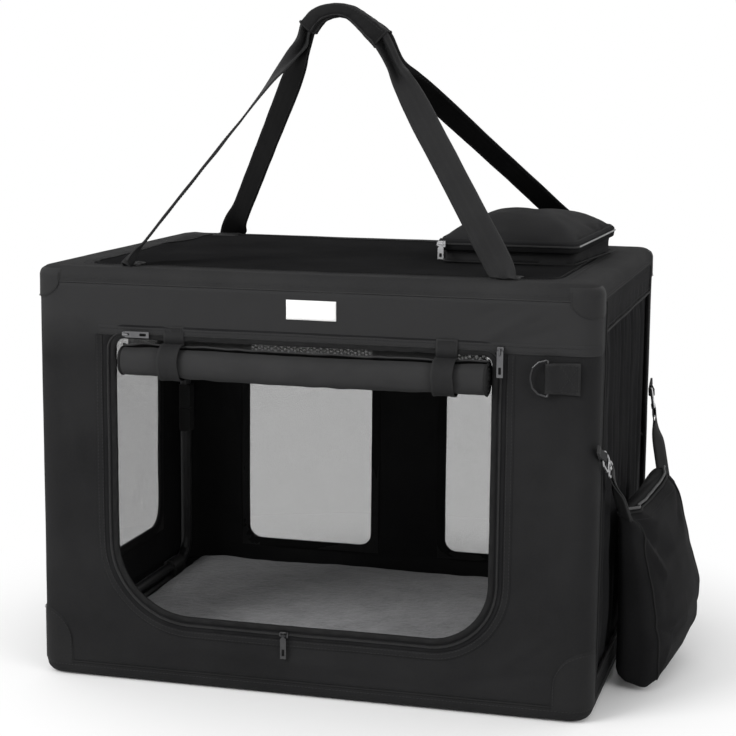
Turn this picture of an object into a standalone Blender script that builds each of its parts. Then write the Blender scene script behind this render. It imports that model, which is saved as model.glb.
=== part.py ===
"""Soft folding dog crate: fabric shell over a steel tube frame whose two ends fold at knee hinges.

Units are metres. X runs along the crate, Y from the door side to the back, Z up.
The origin is the middle of the floor's underside, on the ground.
"""
import math

import bmesh
import bpy
from mathutils import Matrix, Vector

# Overall size and cloth
crate_length = 0.700
crate_depth = 0.520
crate_height = 0.520
cloth = 0.003              # padded fabric of the floor, roof, front and back
gap = 0.0003               # left between pieces that touch
corner_radius = 0.028      # upright corners, seen from above
edge_radius = 0.014        # rim of the roof and of the floor
overrun = 0.010            # what a cutter runs past a face

# Steel tube frame
tube_radius = 0.008
tube_inset = 0.0035        # air between a ring tube and the cloth outside it
ring_bend = 0.030
frame_bend = 0.030
tube_spacing = 0.0009      # between a ring's end tube and the crossbar beside it
post_spacing = 0.0055      # between a ring's long tube and a frame's post
post_end_gap = 0.004       # from a post's end to the knee

# Plastic clips and knees
clip_wall = 0.003
clip_length = 0.040
clip_bend_gap = 0.004      # from a clip to the bend of its frame
bore_clearance = 0.0003
knee_offset = 0.0085       # outward of the posts, so the ends lock past centre
knee_height_half = 0.035   # of one knee half
knee_half_width = 0.010
knee_inner_wall = 0.0015
knee_face_gap = 0.0004
knuckle_radius = 0.0027
knuckle_length = 0.0035
knuckle_gap = 0.0005
knee_pin_radius = 0.0013
knee_pin_clearance = 0.0002
knuckle_clearance = 0.0004

# Skirts and wall panels
long_skirt = 0.020         # of the floor and the roof along front and back
floor_end_skirt = 0.046
roof_end_skirt = 0.060
panel_thickness = 0.0025
panel_side_gap = 0.0035
panel_end_gap = 0.0043
panel_bend = 0.024         # of a panel's corners, inside its frame's bends
panel_knee_gap = 0.0006
fold_count = 9             # gathers of the curtain on the right end
fold_depth = 0.0042
fold_fade = 0.050
fold_row_shares = (0, 0.02, 0.06, 0.11, 0.2, 0.45, 0.75, 0.88, 1.0)  # rows, from the header or hem

# Door opening, and mesh windows
header_depth = 0.084       # of the front above the door
door_left_margin = 0.107   # from the crate's ends to the opening
door_right_margin = 0.122
door_bottom = 0.088
door_left_bend = 0.095
door_right_bend = 0.072
door_top_bend = 0.012
mesh_thickness = 0.0008
mesh_hem = 0.008           # of a mesh window over its opening's edge
back_window_inner = 0.052  # from the crate's middle to either window
back_window_margin = 0.100
back_window_bottom = 0.056
back_window_drop = 0.090   # from the roof
back_window_bend = 0.022
side_window_margin = 0.0725
side_window_bottom = 0.098
side_window_drop = 0.096
side_window_bend = 0.035

# Rolled door
roll_turns = 2.4
roll_radius = 0.0225
roll_core = 0.0125
roll_thickness = 0.0022
roll_start = math.radians(81)
roll_drop = 0.0275         # of its middle, below the header
roll_forward = 0.003       # of its middle, past the front
roll_left_inset = 0.019    # from the opening's sides
roll_right_inset = 0.009
tie_width = 0.026
tie_thickness = 0.0015
tie_left_inset = 0.058     # from the roll's ends
tie_right_inset = 0.047
tie_sewn = 0.016           # of its tail on the header

# Floor board and mat
board_thickness = 0.0027
board_inset = 0.0055       # inside the ring
mat_crown_share = 0.5      # of its thickness
mat_frame_gap = 0.0015
mat_draw = 0.010
mat_inset = 0.0025
mat_corner = 0.030

# Carrying straps
strap_width = 0.038
strap_thickness = 0.0025
strap_lift = 0.0018        # of the hinge line over the roof
strap_foot_inset = 0.024   # from the crate's front or back
strap_swing_y = 0.010      # half the distance of the two straps where they meet
strap_reach = 0.314        # of the grip's middle line over the feet
front_foot_inset = 0.114   # from the crate's ends
rear_foot_inset = 0.085
patch_length = 0.034
patch_thickness = 0.0022
patch_gap = 0.006
patch_sink = 0.001
grip_middle = -0.027
grip_half_length = 0.050
grip_drop = 0.037          # of the grip's right end below its top
grip_height = 0.024
grip_depth = 0.018
grip_wall = 0.002
slot_clearance = 0.0004
# Stations along the grip: of its half length, of its drop, of its height
grip_shares = (
    (-0.99, 0.60, 0.95),
    (-0.69, 0.17, 0.85),
    (-0.26, 0.0, 0.74),
    (0.12, 0.07, 0.74),
    (0.38, 0.29, 0.82),
    (0.63, 0.56, 0.95),
    (1.0, 1.0, 1.10),
)
# Where the two straps come together at either side of the grip: of its half length and of its drop
gather_shares = {"left": (-1.12, 1.16), "right": (1.39, 1.93)}
# Stations along a leg, from its foot: of its length, of its width, of its lean
leg_shares = (
    (0.05, 1.0, 0.35),
    (0.12, 1.0, 1.0),
    (0.30, 1.0, 1.0),
    (0.55, 1.0, 1.0),
    (0.78, 1.0, 0.9),
    (0.91, 0.8, 0.6),
)
gather_width_share = 0.5
# Each leg's width direction away from its ends, and its foot's width, as a share of the strap's
leg_lean_shares = {
    ("front", "left"): ((0.53, -0.78, 0.33), 0.53),
    ("front", "right"): ((-0.86, -0.16, -0.57), 1.0),
    ("rear", "left"): ((0.60, -0.36, -0.71), 1.0),
    ("rear", "right"): ((-0.90, 0.10, -0.40), 1.0),
}

# Pocket on the roof
pocket_length = 0.188
pocket_width = 0.222
pocket_end_inset = 0.054
pocket_front = -0.062
pocket_side = 0.034
pocket_zip_share = 0.7     # of its side's height
pocket_crown = 0.012
pocket_draw = 0.008

# Pouch hanging at the right end
pouch_width = 0.210
pouch_height = 0.222
pouch_rear_share = 0.80    # of that height, at the bag's rear corner
pouch_depth = 0.064
pouch_top_share = 0.42     # of that depth, along the bag's mouth
pouch_taper_share = 0.67   # of its height, over which it widens to its full depth
pouch_wall_gap = 0.0035
pouch_middle_y = -0.010
pouch_hang = 0.078         # of its mouth, below the line that it swings about
pouch_tab_share = 0.46     # of its width, from its middle to each tab
pouch_turn = math.radians(-6.0)
pouch_bulge = 0.014
loop_y = 0.235
loop_width = 0.010
loop_thickness = 0.0014
loop_drop = 0.202          # from the roof to the line that the pouch swings about
loop_sewn = 0.026
loop_eye = 0.0030
loop_flap_share = 0.55     # of the sewn length, where the folded end lies
loop_slot_share = 0.35
hook_wire = 0.0016
hook_half_width = 0.0085
hook_bend = 0.006
hook_length = 0.030
swivel_radius = 0.0032
swivel_length = 0.008

# Webbing tab and ring at the right of the front
tab_width = 0.036
tab_length = 0.0375
tab_end_inset = 0.020
tab_drop = 0.108           # from the roof
tab_fold = 0.018           # from the eye to where the folded end lies flat
tab_thickness = 0.0018
tab_eye = 0.0026
ring_wire = 0.0014
ring_reach = 0.020
ring_corner = 0.018

# Zip sliders
slider_length = 0.011
slider_width = 0.0085
slider_nose = 0.005
slider_bend = 0.0013
slider_thickness = 0.0042
pull_length = 0.030
pocket_pull_length = 0.019
pull_width = 0.0075
pull_thickness = 0.0014
pull_hole_shares = (0.45, 0.60, 0.88)  # of half its width, and its start and end along the pull
pull_head = 0.0034         # half the head of a pull that hangs across its zip
pull_head_length = 0.0016
pull_swing = math.radians(28)
bridge_wire = 0.0008
bridge_height = 0.0036
bridge_reach = 0.0030      # half the bridge's length along the zip
left_slider_inset = 0.017  # from the opening's side
sill_slider_along = 0.218  # from the opening's left side

# Places that follow from the sizes above
half_length = crate_length / 2
half_depth = crate_depth / 2
ring_height = cloth + gap + clip_wall + tube_radius
bar_height = ring_height + 2 * tube_radius + tube_spacing
ring_x = half_length - cloth - tube_inset - tube_radius
ring_y = half_depth - cloth - tube_inset - tube_radius
post_y = ring_y - 2 * tube_radius - post_spacing
clip_middle = post_y - frame_bend - clip_bend_gap - clip_length / 2
knee_x = ring_x + knee_offset
knee_height = crate_height / 2
panel_outside = ring_x + tube_radius
panel_half = post_y - tube_radius - panel_side_gap
panel_bottom = bar_height + tube_radius + panel_end_gap
door_left = door_left_margin - half_length
door_right = half_length - door_right_margin
door_top = crate_height - header_depth
back_window_outer = half_length - back_window_margin
back_window_top = crate_height - back_window_drop
side_window_half = panel_half - side_window_margin
side_window_top = crate_height - side_window_drop
roll_height = door_top - roll_drop
roll_left = door_left + roll_left_inset
roll_right = door_right - roll_right_inset
strap_foot_y = half_depth - strap_foot_inset
strap_foot_z = crate_height + strap_lift
foot_xs = {"front": half_length - front_foot_inset, "rear": half_length - rear_foot_inset}
pocket_right = half_length - pocket_end_inset
pocket_left = pocket_right - pocket_length
pocket_back = pocket_front + pocket_width
loop_hook_height = crate_height - loop_drop
pouch_top = loop_hook_height - pouch_hang
tab_right = half_length - tab_end_inset
tab_left = tab_right - tab_length
tab_height = crate_height - tab_drop
bridge_room = bridge_height - bridge_wire

# Colours, roughness and metallic value of each finish
finishes = {
    "shell_fabric": ((0.020, 0.020, 0.021), 0.85, 0.0),
    "side_fabric": ((0.015, 0.015, 0.016), 0.80, 0.0),
    "mesh": ((0.30, 0.30, 0.31), 0.90, 0.0),
    "mat_fleece": ((0.070, 0.070, 0.073), 0.95, 0.0),
    "webbing": ((0.016, 0.016, 0.017), 0.75, 0.0),
    "board": ((0.030, 0.030, 0.030), 0.70, 0.0),
    "frame_steel": ((0.035, 0.035, 0.037), 0.40, 0.9),
    "clip_plastic": ((0.018, 0.018, 0.018), 0.45, 0.0),
    "zip_metal": ((0.62, 0.62, 0.64), 0.28, 1.0),
}


def clear_scene():
    for old in list(bpy.data.objects):
        bpy.data.objects.remove(old, do_unlink=True)


def make_collection(name):
    made = bpy.data.collections.new(name)
    bpy.context.scene.collection.children.link(made)
    return made


def make_material(name, colour, roughness, metallic):
    material = bpy.data.materials.new(name)
    material.use_nodes = True
    shader = material.node_tree.nodes["Principled BSDF"]
    shader.inputs["Base Color"].default_value = (*colour, 1.0)
    shader.inputs["Roughness"].default_value = roughness
    shader.inputs["Metallic"].default_value = metallic
    material.diffuse_color = (*colour, 1.0)
    return material


clear_scene()
crate = make_collection("soft_folding_dog_crate")
cutters = make_collection("cutters")


def own_material(obj, finish):
    """Each sub-part has a material of its own, with its finish's values."""
    colour, roughness, metallic = finishes[finish]
    obj.data.materials.clear()
    obj.data.materials.append(make_material(obj.name, colour, roughness, metallic))


def from_bmesh(name, shape, finish=None):
    """A new object; without a finish it is a cutter."""
    mesh = bpy.data.meshes.new(name)
    shape.to_mesh(mesh)
    shape.free()
    obj = bpy.data.objects.new(name, mesh)
    if finish is None:
        cutters.objects.link(obj)
        obj.hide_render = True
        obj.display_type = "WIRE"
    else:
        crate.objects.link(obj)
        own_material(obj, finish)
    return obj


def smooth(obj, angle=math.radians(40)):
    obj.data.shade_smooth()
    obj.data.set_sharp_from_angle(angle=angle)
    return obj


def box(name, low, high, finish=None):
    shape = bmesh.new()
    bmesh.ops.create_cube(shape, size=1)
    size = Vector(high) - Vector(low)
    middle = (Vector(high) + Vector(low)) / 2
    bmesh.ops.scale(shape, vec=size, verts=shape.verts)
    bmesh.ops.translate(shape, vec=middle, verts=shape.verts)
    return from_bmesh(name, shape, finish)


def curve_to_mesh(name, curve, matrix, finish=None):
    """Turns a curve into a mesh object with its caps welded, and drops the curve."""
    source = bpy.data.objects.new(name + "_curve", curve)
    bpy.context.scene.collection.objects.link(source)
    source.matrix_world = matrix
    bpy.context.view_layer.update()
    evaluated = source.evaluated_get(bpy.context.evaluated_depsgraph_get())
    mesh = bpy.data.meshes.new_from_object(evaluated)
    shape = bmesh.new()
    shape.from_mesh(mesh)
    bmesh.ops.remove_doubles(shape, verts=shape.verts, dist=gap / 30)
    bmesh.ops.transform(shape, matrix=matrix, verts=shape.verts)
    bmesh.ops.recalc_face_normals(shape, faces=shape.faces)
    bpy.data.objects.remove(source)
    bpy.data.meshes.remove(mesh)
    return from_bmesh(name, shape, finish)


def tube(name, points, radius, finish=None, cyclic=False, resolution=4):
    """A round bar along the points."""
    curve = bpy.data.curves.new(name, "CURVE")
    curve.dimensions = "3D"
    curve.bevel_depth = radius
    curve.bevel_resolution = resolution
    curve.use_fill_caps = not cyclic
    spline = curve.splines.new("POLY")
    spline.points.add(len(points) - 1)
    for point, place in zip(spline.points, points):
        point.co = (*place, 1)
    spline.use_cyclic_u = cyclic
    made = curve_to_mesh(name, curve, Matrix(), finish)
    return smooth(made, math.radians(50))


def plate(name, outlines, thickness, matrix, finish=None):
    """Flat outlines filled and given a thickness about their plane; an inner outline is a hole."""
    curve = bpy.data.curves.new(name, "CURVE")
    curve.dimensions = "2D"
    curve.fill_mode = "BOTH"
    curve.extrude = thickness / 2
    for outline in outlines:
        spline = curve.splines.new("POLY")
        spline.points.add(len(outline) - 1)
        for point, place in zip(spline.points, outline):
            point.co = (place[0], place[1], 0, 1)
        spline.use_cyclic_u = True
    return curve_to_mesh(name, curve, matrix, finish)


def facing(u_axis, v_axis, middle=(0, 0, 0)):
    """The matrix that lays an outline's x and y along two directions."""
    u = Vector(u_axis)
    v = Vector(v_axis)
    turn = Matrix((u, v, u.cross(v))).transposed().to_4x4()
    return Matrix.Translation(middle) @ turn


def along_y(middle_y, x=0, z=0):
    """Outline x along X and y along Z; the thickness runs along Y."""
    return facing((1, 0, 0), (0, 0, 1), (x, middle_y, z))


def along_x(middle_x, y=0, z=0):
    """Outline x along Y and y along Z; the thickness runs along X."""
    return facing((0, 1, 0), (0, 0, 1), (middle_x, y, z))


def along_z(middle_z, x=0, y=0):
    return facing((1, 0, 0), (0, 1, 0), (x, y, middle_z))


def rounded(corners, bends, steps=6):
    """An outline through the corners, anticlockwise, with an arc of its own radius at each."""
    points = []
    count = len(corners)
    for index, corner in enumerate(corners):
        corner = Vector(corner)
        before = (Vector(corners[index - 1]) - corner).normalized()
        after = (Vector(corners[(index + 1) % count]) - corner).normalized()
        bend = bends[index]
        if bend == 0:
            points.append(tuple(corner))
            continue
        half_angle = before.angle(after) / 2
        middle = corner + (before + after).normalized() * (bend / math.sin(half_angle))
        start = corner + before * (bend / math.tan(half_angle)) - middle
        turn = math.pi - 2 * half_angle
        sign = -1 if before.cross(after) > 0 else 1
        for step in range(steps + 1):
            angle = sign * turn * step / steps
            cosine = math.cos(angle)
            sine = math.sin(angle)
            x = start.x * cosine - start.y * sine
            y = start.x * sine + start.y * cosine
            points.append((middle.x + x, middle.y + y))
    return points


def rectangle(left, low, right, high, bend, steps=6):
    corners = ((left, low), (right, low), (right, high), (left, high))
    return rounded(corners, (bend,) * 4, steps)


def circle(radius, x=0, y=0, steps=20):
    points = []
    for step in range(steps):
        angle = 2 * math.pi * step / steps
        points.append((x + radius * math.cos(angle), y + radius * math.sin(angle)))
    return points


def stadium(radius, low, high, steps=7):
    """Two half circles of one radius, round the points low and high."""
    low = Vector(low)
    high = Vector(high)
    start = math.atan2((high - low).y, (high - low).x) - math.pi / 2
    points = []
    for middle, first in ((high, start), (low, start + math.pi)):
        for step in range(steps + 1):
            angle = first + math.pi * step / steps
            points.append((middle.x + radius * math.cos(angle), middle.y + radius * math.sin(angle)))
    return points


def boolean(obj, other, operation):
    """Applies one Boolean now, and removes the other object."""
    modifier = obj.modifiers.new(operation.lower(), "BOOLEAN")
    modifier.operation = operation
    modifier.solver = "EXACT"
    modifier.object = other
    bpy.context.view_layer.update()
    evaluated = obj.evaluated_get(bpy.context.evaluated_depsgraph_get())
    mesh = bpy.data.meshes.new_from_object(evaluated)
    obj.modifiers.remove(modifier)
    old = obj.data
    mesh.name = old.name
    obj.data = mesh
    bpy.data.meshes.remove(old)
    gone = other.data
    bpy.data.objects.remove(other)
    bpy.data.meshes.remove(gone)
    return obj


def cut(obj, *tools):
    for tool in tools:
        boolean(obj, tool, "DIFFERENCE")
    return obj


def join(obj, *others):
    for other in others:
        boolean(obj, other, "UNION")
    return obj


def solidify(obj, thickness, offset):
    modifier = obj.modifiers.new("thickness", "SOLIDIFY")
    modifier.thickness = thickness
    modifier.offset = offset
    modifier.use_even_offset = True
    bpy.context.view_layer.update()
    evaluated = obj.evaluated_get(bpy.context.evaluated_depsgraph_get())
    mesh = bpy.data.meshes.new_from_object(evaluated)
    obj.modifiers.remove(modifier)
    old = obj.data
    obj.data = mesh
    bpy.data.meshes.remove(old)
    return obj


def strip(name, rails, thickness, finish=None, offset=0.0):
    """A band between two rails of equal length, given a thickness."""
    shape = bmesh.new()
    rows = [(shape.verts.new(left), shape.verts.new(right)) for left, right in rails]
    for first, second in zip(rows, rows[1:]):
        shape.faces.new((first[0], first[1], second[1], second[0]))
    obj = from_bmesh(name, shape, finish)
    return solidify(obj, thickness, offset)


def set_origin(obj, place):
    """Moves an object's origin onto its joint's axis, and leaves its shape where it is."""
    shift = Vector(place)
    obj.data.transform(Matrix.Translation(-shift))
    obj.location = shift
    return obj


def axis_empty(name, place):
    """An empty on a joint's axis, for the pieces that turn or slide together."""
    empty = bpy.data.objects.new(name, None)
    empty.location = place
    empty.empty_display_size = overrun
    crate.objects.link(empty)
    return empty


def hold(parent, *pieces):
    for piece in pieces:
        piece.parent = parent
        piece.matrix_parent_inverse = Matrix.Translation(-parent.location)


# Frame


def make_ring(name, height):
    outline = rectangle(-ring_x, -ring_y, ring_x, ring_y, ring_bend, 5)
    points = [(x, y, height) for x, y in outline]
    return tube(name, points, tube_radius, "frame_steel", cyclic=True)


def make_end_frame(name, side, bar, end):
    """A U of tube in one end's plane: a crossbar at the hinge line and two posts."""
    up = 1 if end > bar else -1
    corners = ((-post_y, end), (-post_y, bar), (post_y, bar), (post_y, end))
    if up < 0:
        corners = corners[::-1]
    outline = rounded(corners, (0, frame_bend, frame_bend, 0), 5)
    points = [(side * ring_x, y, z) for y, z in outline]
    return tube(name, points, tube_radius, "frame_steel")


def make_clip(name, side, middle_y, ring_z, bar_z):
    """A moulded clip round a ring's end tube and the crossbar that turns in it."""
    x = side * ring_x
    low = min(ring_z, bar_z)
    high = max(ring_z, bar_z)
    outline = stadium(tube_radius + clip_wall, (x, low), (x, high))
    body = plate(name, [outline], clip_length, along_y(middle_y), "clip_plastic")
    for z in (low, high):
        bore = circle(tube_radius + bore_clearance, x, z, 16)
        length = clip_length + 2 * overrun
        cut(body, plate(name + "_bore", [bore], length, along_y(middle_y)))
    return smooth(body)


def knee_cylinder(name, side, low_y, high_y, radius, finish=None):
    outline = circle(radius, side * knee_x, knee_height, 10)
    middle = (low_y + high_y) / 2
    return plate(name, [outline], high_y - low_y, along_y(middle), finish)


def make_knee_half(name, side, middle_y, is_upper):
    """One moulded half of a knee: a saddle on its post, and knuckles on the outer edge."""
    sign = 1 if is_upper else -1
    inner = side * (ring_x - tube_radius - bore_clearance - knee_inner_wall)
    outer = side * (knee_x - knee_face_gap)
    near = knee_height + sign * gap
    far = knee_height + sign * knee_height_half
    corners = rectangle(
        min(inner, outer), min(near, far), max(inner, outer), max(near, far), knee_inner_wall / 2, 2
    )
    body = plate(name, [corners], 2 * knee_half_width, along_y(middle_y), "clip_plastic")
    post = circle(tube_radius + bore_clearance, side * ring_x, middle_y, 16)
    start = knee_height + sign * (post_end_gap - bore_clearance)
    length = knee_height_half + overrun
    bore_middle = start + sign * length / 2
    cut(body, plate(name + "_bore", [post], length, along_z(bore_middle)))
    half_centre = knuckle_length / 2
    fork_near = half_centre + knuckle_gap
    fork_far = fork_near + knuckle_length
    own_radius = knuckle_radius
    room_radius = knuckle_radius + knuckle_clearance
    spans = {
        "centre": (-half_centre, half_centre),
        "front": (-fork_far, -fork_near),
        "back": (fork_near, fork_far),
    }
    own = ("centre",) if is_upper else ("front", "back")
    for span, (low, high) in spans.items():
        if span in own:
            continue
        low_y = middle_y + low - knuckle_gap / 2
        high_y = middle_y + high + knuckle_gap / 2
        cut(body, knee_cylinder(name + "_room", side, low_y, high_y, room_radius))
    for span in own:
        low, high = spans[span]
        join(body, knee_cylinder(name + "_knuckle", side, middle_y + low, middle_y + high, own_radius))
    if is_upper:
        bore = knee_pin_radius + knee_pin_clearance
        low_y = middle_y - half_centre - overrun
        cut(body, knee_cylinder(name + "_pin_bore", side, low_y, middle_y + half_centre + overrun, bore))
    else:
        low_y = middle_y - fork_near - knuckle_length / 2
        high_y = middle_y + fork_near + knuckle_length / 2
        join(body, knee_cylinder(name + "_pin", side, low_y, high_y, knee_pin_radius))
    return smooth(body)


# Fabric shell


def make_tray(name, rim, direction, end_skirt):
    """The floor or the roof: a sheet with rounded corners and skirts, deeper at the two ends."""
    shape = bmesh.new()
    bmesh.ops.create_cube(shape, size=1)
    bmesh.ops.scale(shape, vec=(crate_length, crate_depth, end_skirt), verts=shape.verts)
    middle = rim + direction * end_skirt / 2
    bmesh.ops.translate(shape, vec=(0, 0, middle), verts=shape.verts)
    open_face = [f for f in shape.faces if f.normal.z * direction > 0.5]
    bmesh.ops.delete(shape, geom=open_face, context="FACES")
    uprights = [e for e in shape.edges if abs((e.verts[0].co - e.verts[1].co).z) > end_skirt / 2]
    bmesh.ops.bevel(
        shape, geom=uprights, offset=corner_radius, segments=6, profile=0.5, affect="EDGES"
    )
    flat_face = max(shape.faces, key=lambda face: face.calc_area())
    bmesh.ops.bevel(
        shape, geom=list(flat_face.edges), offset=edge_radius, segments=4, profile=0.5, affect="EDGES"
    )
    bmesh.ops.recalc_face_normals(shape, faces=shape.faces)
    body = from_bmesh(name, shape, "shell_fabric")
    solidify(body, cloth, -1.0)
    long_edge = rim + direction * long_skirt
    far = rim + direction * (end_skirt + overrun)
    skirt_half = panel_half - gap
    for side in (-1, 1):
        near_y = side * skirt_half
        far_y = side * (half_depth + overrun)
        reach = half_length + overrun
        low = (-reach, min(near_y, far_y), min(long_edge, far))
        high = (reach, max(near_y, far_y), max(long_edge, far))
        cut(body, box(name + "_cut", low, high))
    return body


def make_long_wall(name, side):
    """The front or back: one sheet that turns both upright corners and ends on the crate's ends."""
    corners = (
        (half_length, panel_half),
        (half_length, half_depth),
        (-half_length, half_depth),
        (-half_length, panel_half),
    )
    plan = rounded(corners, (0, corner_radius, corner_radius, 0), 6)
    low = long_skirt + gap
    high = crate_height - long_skirt - gap
    rails = [((x, side * y, low), (x, side * y, high)) for x, y in plan]
    return strip(name, rails, cloth, "shell_fabric", side)


def door_outline():
    corners = (
        (door_left, door_bottom),
        (door_right, door_bottom),
        (door_right, door_top),
        (door_left, door_top),
    )
    return rounded(corners, (door_left_bend, door_right_bend, door_top_bend, door_top_bend), 8)


def back_window_outline(side, hem=0):
    inner = side * (back_window_inner - hem)
    outer = side * (back_window_outer + hem)
    low = back_window_bottom - hem
    high = back_window_top + hem
    return rectangle(min(inner, outer), low, max(inner, outer), high, back_window_bend + hem)


def make_front_wall():
    wall = make_long_wall("front_wall", -1)
    depth = 2 * overrun
    cut(wall, plate("door_cut", [door_outline()], depth, along_y(-half_depth)))
    return smooth(wall)


def make_back_wall():
    wall = make_long_wall("back_wall", 1)
    windows = []
    for side, word in ((-1, "left"), (1, "right")):
        outline = back_window_outline(side)
        cut(wall, plate("window_cut", [outline], 2 * overrun, along_y(half_depth)))
        sheet = back_window_outline(side, mesh_hem)
        y = half_depth - cloth - gap - mesh_thickness / 2
        windows.append(plate("back_window_" + word, [sheet], mesh_thickness, along_y(y), "mesh"))
    return smooth(wall), windows


def end_panel_span(is_upper):
    if is_upper:
        return knee_height + panel_knee_gap, crate_height - panel_bottom
    return panel_bottom, knee_height - panel_knee_gap


def side_window_outline(is_upper, hem=0, beyond=0):
    """Half of the left end's mesh window, cut off straight at the knee or run beyond it."""
    half = side_window_half + hem
    bend = side_window_bend + hem
    if is_upper:
        low = knee_height + panel_knee_gap - beyond
        high = side_window_top + hem
        corners = ((-half, low), (half, low), (half, high), (-half, high))
        return rounded(corners, (0, 0, bend, bend), 5)
    high = knee_height - panel_knee_gap + beyond
    low = side_window_bottom - hem
    corners = ((-half, low), (half, low), (half, high), (-half, high))
    return rounded(corners, (bend, bend, 0, 0), 5)


def make_left_panel(word, is_upper):
    low, high = end_panel_span(is_upper)
    inside = panel_outside - panel_thickness
    middle = -(panel_outside + inside) / 2
    corners = ((-panel_half, low), (panel_half, low), (panel_half, high), (-panel_half, high))
    bends = (0, 0, panel_bend, panel_bend) if is_upper else (panel_bend, panel_bend, 0, 0)
    outline = rounded(corners, bends, 4)
    wall = plate("left_wall_" + word, [outline], panel_thickness, along_x(middle), "side_fabric")
    opening = side_window_outline(is_upper, 0, overrun)
    cut(wall, plate("side_window_cut", [opening], 2 * overrun, along_x(middle)))
    x = -(inside - gap - mesh_thickness / 2)
    sheet = side_window_outline(is_upper, mesh_hem)
    mesh = plate("left_window_" + word, [sheet], mesh_thickness, along_x(x), "mesh")
    return wall, mesh


def curtain_depth(y, z, low, high, is_upper):
    """How far the gathered curtain dents inward: nothing at its sides, its header and the knee."""
    from_end = (high - z) if is_upper else (z - low)
    from_knee = (z - low) if is_upper else (high - z)
    fade = min(1.0, from_end / fold_fade) * min(1.0, from_knee / (fold_fade / 2))
    side_fade = min(1.0, (panel_half - abs(y)) / (fold_fade / 2))
    wave = 0.5 - 0.5 * math.cos(2 * math.pi * fold_count * (y + panel_half) / (2 * panel_half))
    return fold_depth * wave * fade * side_fade


def make_right_panel(word, is_upper):
    """Half of the right end's gathered curtain."""
    low, high = end_panel_span(is_upper)
    columns = fold_count * 4
    shape = bmesh.new()
    rows = []
    for share in fold_row_shares:
        from_end = (high - low) * share
        z = high - from_end if is_upper else low + from_end
        short = max(0.0, panel_bend - from_end)
        half = panel_half - panel_bend + math.sqrt(panel_bend ** 2 - short ** 2)
        row = []
        for column in range(columns + 1):
            y = -half + 2 * half * column / columns
            x = panel_outside - curtain_depth(y, z, low, high, is_upper)
            row.append(shape.verts.new((x, y, z)))
        rows.append(row)
    for first, second in zip(rows, rows[1:]):
        for column in range(columns):
            shape.faces.new((first[column], first[column + 1], second[column + 1], second[column]))
    if is_upper:
        bmesh.ops.reverse_faces(shape, faces=shape.faces)
    wall = from_bmesh("right_wall_" + word, shape, "side_fabric")
    modifier = wall.modifiers.new("thickness", "SOLIDIFY")
    modifier.thickness = panel_thickness
    modifier.offset = -1.0
    return smooth(wall)


# Floor


def make_board():
    x = ring_x - tube_radius - board_inset
    y = ring_y - tube_radius - board_inset
    outline = rectangle(-x, -y, x, y, mat_corner, 4)
    middle = cloth + gap + board_thickness / 2
    return plate("floor_board", [outline], board_thickness, along_z(middle), "board")


def soft_block(name, low, high, crown, draw, bend, cuts, finish):
    """A padded block: flat below, crowned above, with sides that draw in between the corners."""
    low = Vector(low)
    high = Vector(high)
    middle = (low + high) / 2
    half = (high - low) / 2
    shape = bmesh.new()
    bmesh.ops.create_cube(shape, size=2)
    for axis, count in enumerate(cuts):
        edges = [e for e in shape.edges if abs((e.verts[0].co - e.verts[1].co)[axis]) > 1]
        bmesh.ops.subdivide_edges(shape, edges=edges, cuts=count, use_grid_fill=True)
    corner_u = bend / half.x
    corner_v = bend / half.y
    for vert in shape.verts:
        u, v, w = vert.co
        x = u * half.x
        y = v * half.y
        over_u = max(0.0, (abs(u) - 1 + corner_u) / corner_u)
        over_v = max(0.0, (abs(v) - 1 + corner_v) / corner_v)
        reach = math.hypot(over_u, over_v)
        if over_u > 0 and over_v > 0:
            scale = max(over_u, over_v) / reach
            x = math.copysign(half.x - bend + bend * over_u * scale, u)
            y = math.copysign(half.y - bend + bend * over_v * scale, v)
        x -= math.copysign(draw * (1 - v * v) * abs(u) ** 6, u)
        y -= math.copysign(draw * (1 - u * u) * abs(v) ** 6, v)
        rise = (1 - u ** 4) * (1 - v ** 4)
        side = half.z - crown / 2
        z = middle.z - crown / 2 + w * side
        if w > 0:
            z += crown * rise * w
        vert.co = (middle.x + x, middle.y + y, z)
    return smooth(from_bmesh(name, shape, finish), math.radians(60))


def make_mat():
    x = ring_x - tube_radius - mat_inset
    y = ring_y - tube_radius - mat_inset
    bottom = cloth + gap + board_thickness + gap
    top = bar_height - tube_radius - mat_frame_gap
    low = (-x, -y, bottom)
    high = (x, y, top)
    crown = (top - bottom) * mat_crown_share
    return soft_block("floor_mat", low, high, crown, mat_draw, mat_corner, (11, 9, 2), "mat_fleece")


# Rolled door


def make_roll():
    """The door, rolled up: a spiral of cloth that ends where it is sewn to the header."""
    steps = int(roll_turns * 14)
    middle_y = -half_depth - roll_forward
    points = []
    for step in range(steps + 1):
        share = step / steps
        angle = roll_start - 2 * math.pi * roll_turns * (1 - share)
        radius = roll_core + (roll_radius - roll_thickness / 2 - roll_core) * share
        points.append((middle_y + radius * math.cos(angle), roll_height + radius * math.sin(angle)))
    rails = [((roll_left, y, z), (roll_right, y, z)) for y, z in points]
    return smooth(strip("door_roll", rails, roll_thickness, "shell_fabric"))


def make_tie(name, middle_x):
    """A strap round the roll, with its tail sewn up the header's face."""
    inner = roll_radius + gap
    outer = inner + tie_thickness
    middle_y = -half_depth - roll_forward
    round_roll = [circle(outer, 0, 0, 28), circle(inner, 0, 0, 28)]
    band = plate(name, round_roll, tie_width, along_x(middle_x, middle_y, roll_height), "webbing")
    half = tie_width / 2
    near = -half_depth - gap
    low = (middle_x - half, near - tie_thickness, roll_height + inner + tie_thickness / 2)
    high = (middle_x + half, near, door_top + tie_sewn)
    return smooth(join(band, box("tail", low, high)))


# Carrying straps


def grip_point(along_share, drop_share, side):
    x = grip_middle + along_share * grip_half_length
    z = strap_foot_z + strap_reach - drop_share * grip_drop
    return Vector((x, side * strap_swing_y, z))


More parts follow.
